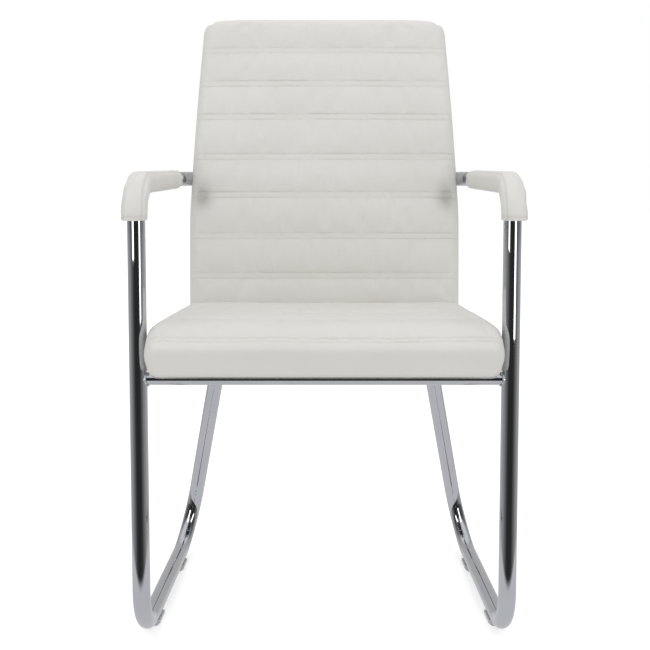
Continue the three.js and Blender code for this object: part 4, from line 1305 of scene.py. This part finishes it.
@dataclass
class ArmSleeves:
    """Padded leather sleeves over the arms, from a hemmed cuff on the front leg to a slanted rear end."""

    pad: float = 4.2 * MM
    end_pad: float = 2.6 * MM
    end_pad_reach: float = 60 * MM
    top_share: float = 0.65
    cuff_length: float = 48 * MM
    cuff_pad: float = 1.4 * MM
    cuff_pad_reach: float = 16 * MM
    cuff_lean: float = 2.6 * MM
    bend_lean: float = 0.6 * MM
    end_depth: float = 385 * MM
    end_slant: float = 16 * MM
    lip: float = 3 * MM
    lip_share: float = 0.62
    hem: float = 5 * MM
    hem_reach: float = 1.2 * MM
    hem_depth_share: float = 0.035
    hem_shade: float = 0.4
    leather: float = 1.3 * MM
    squareness: float = 2.75
    seam_angle: float = math.radians(-52)
    seam_reach: float = math.radians(5)
    seam_depth_share: float = 0.05
    seam_shade: float = 0.55
    fold: float = 0.35 * MM
    bend_fold: float = 1.1 * MM
    bend_fold_reach: float = 35 * MM
    rear_fold: float = 2.2 * MM
    rear_fold_reach: float = 45 * MM
    fold_length: float = 15.2542373 * MM
    fold_turns: float = 2.0
    sides_round: int = 64
    bend_steps: int = 26
    ring_pitch: float = 2.4 * MM
    fill: float = 0.85
    stitch_radius: float = 0.3 * MM
    ray_reach: float = 60 * MM
    rays: int = 90

    def build(self, finishes: Finishes) -> None:
        """Makes both sleeves and the stitches round their cuffs."""
        for side in Side:
            piece = self.sleeve(side)
            finishes.settle(piece, Slot.LEATHER, f"arm_sleeve_{side.label}")
            finishes.settle(self.hem_stitches(side, piece), Slot.LEATHER, sewn=True)

    def corners(self, side: Side) -> list[RouteCorner]:
        """The sleeve's share of the side frame's centre line."""
        x = side.value * DATUM.leg_x
        return [
            RouteCorner(Vector((x, DATUM.leg_plane, DATUM.arm_height - self.cuff_length - self.lip))),
            RouteCorner(Vector((x, DATUM.leg_plane, DATUM.arm_height)), DATUM.arm_front_bend),
            RouteCorner(Vector((x, DATUM.leg_plane + self.end_depth, DATUM.arm_height))),
        ]

    def sleeve(self, side: Side) -> bpy.types.Object:
        """One sleeve, open at both ends."""
        bore = DATUM.tube_radius + DATUM.clearance
        bender = TubeBender.along(self.corners(side), bore, self.sides_round, self.bend_steps, self.ring_pitch)
        centres = [ring.centre for ring in bender.rings]
        steps = [(after - before).length for before, after in zip(centres, centres[1:])]
        travel = np.cumsum([0, *steps]).tolist()
        middle = self.end_depth / 2
        for (centre, heading, ring), distance in zip(bender.rings, travel):
            outward = X_AXIS.cross(heading)
            pad, lean = self.pad_at(distance, travel[-1]), self.lean_at(distance)
            near_end = clamped((centre.y - DATUM.leg_plane - middle) / middle)
            slant = near_end ** 2 * (3 - 2 * near_end) * self.end_slant * side.value / (2 * DATUM.tube_radius)
            hem, depth = hump(distance - self.hem, self.hem_reach), self.fold_at(distance, travel[-1])
            for vert in ring:
                offset = vert.co - centre
                across, up = offset.x / bore, offset.dot(outward) / bore
                seam = hump(math.atan2(-up, -side.value * across) - self.seam_angle, self.seam_reach)
                wide, tall = self.section(across, up)
                sunk = 1 - (self.seam_depth_share * seam + self.hem_depth_share * hem)
                spot = Vector((across * self.fold_turns, up * self.fold_turns, distance / self.fold_length))
                fold = depth * noise.noise(spot)
                reach_across = (bore + pad) * wide
                reach_up = (bore + pad * self.top_share) * tall
                vert.co = centre + X_AXIS * reach_across * sunk + outward * reach_up * sunk
                vert.co += (X_AXIS * wide + outward * tall) * fold
                vert.co += Y_AXIS * slant * reach_across + X_AXIS * side.value * lean
                # painted shade along the underside seam and at the cuff's hem
                vert[bender.crease] = self.seam_shade * seam + self.hem_shade * hem
        solid_shell(bender.bm, self.leather)
        return finished(f"arm_sleeve_leather_{side.label}", bender.bm, 60)

    def section(self, across: float, up: float) -> Pair:
        """Squares the round section."""
        norm = (abs(across) ** self.squareness + abs(up) ** self.squareness) ** (1 / self.squareness)
        return across / norm, up / norm

    def pad_at(self, distance: float, total: float) -> float:
        """Thickness of the padding at a distance from the cuff's edge, on a sleeve of a total length."""
        flare = self.cuff_pad * math.exp(-distance / self.cuff_pad_reach)
        lip = max(min(distance, total - distance, self.lip) / self.lip, 0)
        rear = (self.pad - self.end_pad) * clamped(1 - (total - distance) / self.end_pad_reach)
        return (self.pad + flare - rear) * (self.lip_share + (1 - self.lip_share) * math.sqrt(lip))

    def lean_at(self, distance: float) -> float:
        """How far the sleeve hangs outwards on the leg, most at the cuff."""
        share = clamped(1 - distance / (self.cuff_length + DATUM.arm_front_bend))
        return (self.cuff_lean + self.bend_lean) * share ** 1.3 - self.bend_lean

    def fold_at(self, distance: float, total: float) -> float:
        """Depth of the folds, deepest inside the front bend and at the rear end."""
        bend = self.bend_fold * hump(distance - self.cuff_length, self.bend_fold_reach)
        return self.fold + bend + self.rear_fold * hump(total - distance, self.rear_fold_reach)

    def hem_stitches(self, side: Side, piece: bpy.types.Object) -> bpy.types.Object:
        """Stitches round the cuff, over its hem."""
        tree = BVHTree.FromObject(piece, bpy.context.evaluated_depsgraph_get())
        stitching = Stitching(f"cuff_stitching_{side.label}", radius=self.stitch_radius)
        centre = self.corners(side)[0].point + Z_AXIS * self.hem
        around = [Vector((math.cos(a), math.sin(a), 0)) for a in np.linspace(0, 2 * math.pi, self.rays)]
        stitching.sew(tree, [(centre + way * self.ray_reach, -way) for way in around])
        return stitching.object()


@dataclass
class DustCover:
    """The black cloth stapled under the seat board, with a turned hem all round."""

    half_width: float = 214 * MM
    front: float = -23.5 * MM
    rear: float = 391 * MM
    corner: float = 37 * MM
    top: float = 5.5 * MM
    thickness: float = 0.6 * MM
    hem: float = 14 * MM
    hem_step: float = 0.15 * MM
    sag: float = 0.25 * MM
    wrinkle: float = 0.1 * MM
    wrinkle_size: float = 55 * MM
    staple_inset: float = 7 * MM
    staple_pitch: float = 46 * MM
    staple_size: tuple = (10 * MM, 0.9 * MM, 0.6 * MM)
    staple_bevel: float = 0.2 * MM

    def build(self, finishes: Finishes) -> None:
        """Makes the cloth and its staples."""
        finishes.settle(self.cloth(), Slot.DUST_CLOTH, "seat_dust_cover")
        finishes.settle(self.staples(), Slot.ZINC)

    def cloth(self) -> bpy.types.Object:
        """The cloth, which sags by a hair and stays clear of the bars under it."""
        middle, half_depth = (self.front + self.rear) / 2, (self.rear - self.front) / 2
        wide, deep = self.half_width - self.corner, half_depth - self.corner
        bm = bmesh.new()
        bmesh.ops.create_grid(bm, x_segments=72, y_segments=70, size=1)
        for vert in bm.verts:
            x, y = vert.co.x * self.half_width, vert.co.y * half_depth
            dx, dy, inside = corner_round(abs(x) - wide, abs(y) - deep, self.corner)
            x, y = math.copysign(wide + dx, x), math.copysign(deep + dy, y)
            hollow = (1 - (x / self.half_width) ** 4) * (1 - (y / half_depth) ** 4)
            wave = noise.noise(Vector((x, middle + y, 0)) / self.wrinkle_size)
            height = self.top + (self.wrinkle * wave - self.sag) * hollow
            height -= self.hem_step if inside < self.hem else 0
            vert.co = DATUM.seat_place(x, middle + y, height)
        solid_shell(bm, self.thickness)
        return finished("dust_cover_cloth", bm, 60)

    def staples(self) -> bpy.types.Object:
        """Staples along the hem, each a low wire crown."""
        bm = bmesh.new()
        low, high = Vector((-self.half_width, self.front)), Vector((self.half_width, self.rear))
        for axis in (0, 1):
            for edge in (low[1 - axis] + self.staple_inset, high[1 - axis] - self.staple_inset):
                start, end = low.copy(), high.copy()
                start[1 - axis] = end[1 - axis] = edge
                start[axis] += self.corner
                end[axis] -= self.corner
                along = DATUM.seat_place(*(end - start), 0) - DATUM.seat_place(0, 0, 0)
                turn = along.to_track_quat("X", "Z").to_matrix().to_4x4()
                count = round((end - start).length / self.staple_pitch)
                for i in range(count):
                    place = start.lerp(end, (i + 0.5) / count)
                    spot = DATUM.seat_place(*place, self.top - self.hem_step - self.thickness)
                    made = bmesh.ops.create_cube(bm, size=1.0)
                    bmesh.ops.scale(bm, verts=made["verts"], vec=self.staple_size)
                    bmesh.ops.transform(bm, verts=made["verts"], matrix=Matrix.Translation(spot) @ turn)
        bmesh.ops.bevel(
            bm, geom=list(bm.edges), offset=self.staple_bevel, segments=2, affect="EDGES", profile=0.5,
            material=-1,
        )
        return finished("dust_cover_staples", bm)


@dataclass
class Hardware:
    """CAD pieces that stay as they are and only take their finish."""

    nodes: dict = field(default_factory=lambda: {
        Slot.CHROME: [f"{row}_seat_plate_{side.label}" for row in ("front", "rear") for side in Side],
        Slot.PLYWOOD: ["seat_board", "back_board"],
        Slot.BLACK_STEEL: [f"back_bracket_{side.label}" for side in Side],
        Slot.NYLON: [f"glide_{row}_{side.label}" for row in ("front", "rear") for side in Side],
        Slot.ZINC: [f"{group}_{side.label}_bolt_{i}" for i in (1, 2) for side in Side
                    for group in ("front_plate", "rear_plate", "seat_bracket", "arm", "back_bracket")],
    })

    def build(self, finishes: Finishes) -> None:
        """Dresses the nodes."""
        for slot, names in self.nodes.items():
            for name in names:
                finishes.dress_node(name, slot)


# Surroundings

class Softbox(NamedTuple):
    """A soft area light that either shows in the chrome or lights the rest."""

    name: str
    place: tuple
    target: tuple
    size: Pair
    power: float
    mirrored: bool = False

    def hang(self) -> None:
        """Hangs the light."""
        data = bpy.data.lights.new(self.name, "AREA")
        data.shape = "RECTANGLE"
        data.size, data.size_y = self.size
        data.energy = self.power
        light = linked(self.name, data)
        light.location = self.place
        light.rotation_euler = (Vector(self.target) - Vector(self.place)).to_track_quat("-Z", "Y").to_euler()
        light.visible_camera = False
        light.visible_glossy = self.mirrored
        light.visible_diffuse = not self.mirrored


@dataclass
class Studio:
    """Pale floor, white surroundings with a dark side behind the camera, softboxes and the camera."""

    image_side: float = 650.0
    sensor: float = 36.0
    focal_px: float = 1090.0
    camera_distance: float = 1.490
    camera_height: float = 0.676
    horizon_row: float = 165.4
    pitch: float = math.radians(4.8)
    picture_shift: float = 0.001
    floor_radius: float = 14.0
    floor_glow: float = 0.56
    floor_edge_rise: float = 0.05
    floor_tone: tuple = (0.66, 0.665, 0.68)
    ceiling_tone: tuple = (0.80, 0.82, 0.86)
    even_light: float = 0.84
    softbox_x: float = 1.05
    softbox_front: float = 1.15
    softbox_width: float = 0.55
    softbox_top: float = 1.9
    softbox_low: Pair = (0.4, 0.19)
    softbox_power: float = 4.7
    ring_stops: tuple = ((0.0, 0.03), (0.06, 0.04), (0.09, 0.06), (0.16, 0.13), (0.25, 0.18), (0.37, 0.29),
                         (0.5, 0.37), (0.82, 0.52), (1.0, 0.66))
    high_ring_stops: tuple = ((0.0, 0.02), (0.15, 0.04), (0.3, 0.08), (0.55, 0.14), (0.8, 0.46), (1.0, 0.54))
    floor_edge: tuple = ((0.3165, 1.0), (0.3190, 0.0))
    high_ring_edge: tuple = ((0.46, 0.0), (0.485, 1.0))
    ceiling_edge: tuple = ((0.73, 0.0), (0.87, 1.0))

    def camera(self) -> None:
        """Sets the camera at the photograph's angle."""
        data = bpy.data.cameras.new("camera")
        data.sensor_width = self.sensor
        data.lens = self.focal_px / self.image_side * self.sensor
        row = self.horizon_row + self.focal_px * math.tan(self.pitch)
        data.shift_x, data.shift_y = self.picture_shift, -(self.image_side / 2 - row) / self.image_side
        data.clip_end = 100.0
        camera = linked("camera", data)
        camera.location = (0.0, DATUM.leg_plane - self.camera_distance, self.camera_height)
        camera.rotation_euler = (math.pi / 2 - self.pitch, 0.0, 0.0)
        bpy.context.scene.camera = camera
        log.info("camera: lens %.1f mm, shift %.3f", data.lens, data.shift_y)

    def floor(self) -> None:
        """Makes the plain pale floor."""
        bm = bmesh.new()
        bmesh.ops.create_circle(bm, cap_ends=True, radius=self.floor_radius, segments=96)
        floor = finished("floor", bm)
        sheet = NodeSheet(bpy.data.materials.new("pale_floor"))
        seen = sheet.add("ShaderNodeLightPath", out="Is Camera Ray")
        sheet.fill(sheet.tree.nodes["Principled BSDF"], {
            "Base Color": sheet.mix(sheet.cloud(Cloud(3, 2)), (0.79, 0.79, 0.79), (0.81, 0.81, 0.81)),
            "Roughness": 0.9,
            "Emission Color": (1.0, 1.0, 1.0, 1.0),
            "Emission Strength": sheet.spread(seen, 0.0, self.floor_glow, (0.0, 1.0)),
        })
        floor.data.materials.append(sheet.owner)
        floor.visible_glossy = False

    def surroundings(self) -> None:
        """Paints the room that the chrome mirrors: dark in front, pale behind, bright below."""
        world = bpy.context.scene.world = bpy.data.worlds.new("studio")
        sheet = NodeSheet(world, "Generated")
        x, y, z = sheet.add("ShaderNodeSeparateXYZ", {0: sheet.place}).node.outputs
        squares = [sheet.calc("MULTIPLY", part, part) for part in (x, y)]
        flat = sheet.calc("SQRT", sheet.calc("ADD", *squares))
        behind = sheet.calc("MULTIPLY_ADD", sheet.calc("DIVIDE", y, flat), 0.5, 0.5)

        def level(height: Socket, stops: Sequence[Pair]) -> Socket:
            return sheet.ramp(sheet.spread(height, 0.0, 1.0, (-1.0, 1.0)), stops)

        over_edge = sheet.calc("SUBTRACT", z, sheet.calc("MULTIPLY", behind, self.floor_edge_rise))
        low_ring, high_ring = sheet.ramp(behind, self.ring_stops), sheet.ramp(behind, self.high_ring_stops)
        walls = sheet.mix(level(z, self.high_ring_edge), low_ring, high_ring)
        lower = sheet.mix(level(over_edge, self.floor_edge), walls, self.floor_tone)
        upper = sheet.mix(level(z, self.ceiling_edge), lower, self.ceiling_tone)
        path = sheet.add("ShaderNodeLightPath").node.outputs
        soft = sheet.mix(path["Is Diffuse Ray"], upper, (self.even_light,) * 3)
        shown = sheet.mix(path["Is Camera Ray"], soft, (1.0, 1.0, 1.0))
        sheet.fill(sheet.tree.nodes["Background"], {"Color": shown})

    def softboxes(self) -> list[Softbox]:
        """The lights: two tall ones that the chrome mirrors, one overhead and one in front."""
        lights = [
            Softbox("softbox_top", (0.0, 0.0, 2.8), (0.0, 0.0, 0.5), (2.4, 2.4), 9.5),
            Softbox("fill_front", (0.0, -4.2, 2.4), (0.0, 0.1, 0.6), (3.2, 2.0), 18.0),
        ]
        for side, low in zip(Side, self.softbox_low):
            height = self.softbox_top - low
            place = (side.value * self.softbox_x, DATUM.leg_plane - self.softbox_front, low + height / 2)
            target, size = (side.value * 0.1, 0.0, 0.8), (self.softbox_width, height)
            power = self.softbox_power * height
            lights.append(Softbox(f"softbox_{side.label}", place, target, size, power, mirrored=True))
        return lights

    def build(self) -> None:
        """Sets the whole studio."""
        self.camera()
        self.floor()
        self.surroundings()
        for light in self.softboxes():
            light.hang()
        bpy.context.scene.view_settings.view_transform = "Standard"


def main() -> None:
    """Builds the studio and the chair."""
    logging.basicConfig(level=logging.INFO, format="%(message)s")
    Studio().build()
    finishes = Finishes()
    frames, back = SideFrames(), BackPad()
    upholstery = (SeatPad(), back, RearPanel(back), ArmSleeves(), DustCover())
    for assembly in (frames, CrossTubes(frames), *upholstery, Hardware()):
        assembly.build(finishes)


if __name__ == "__main__":
    main()
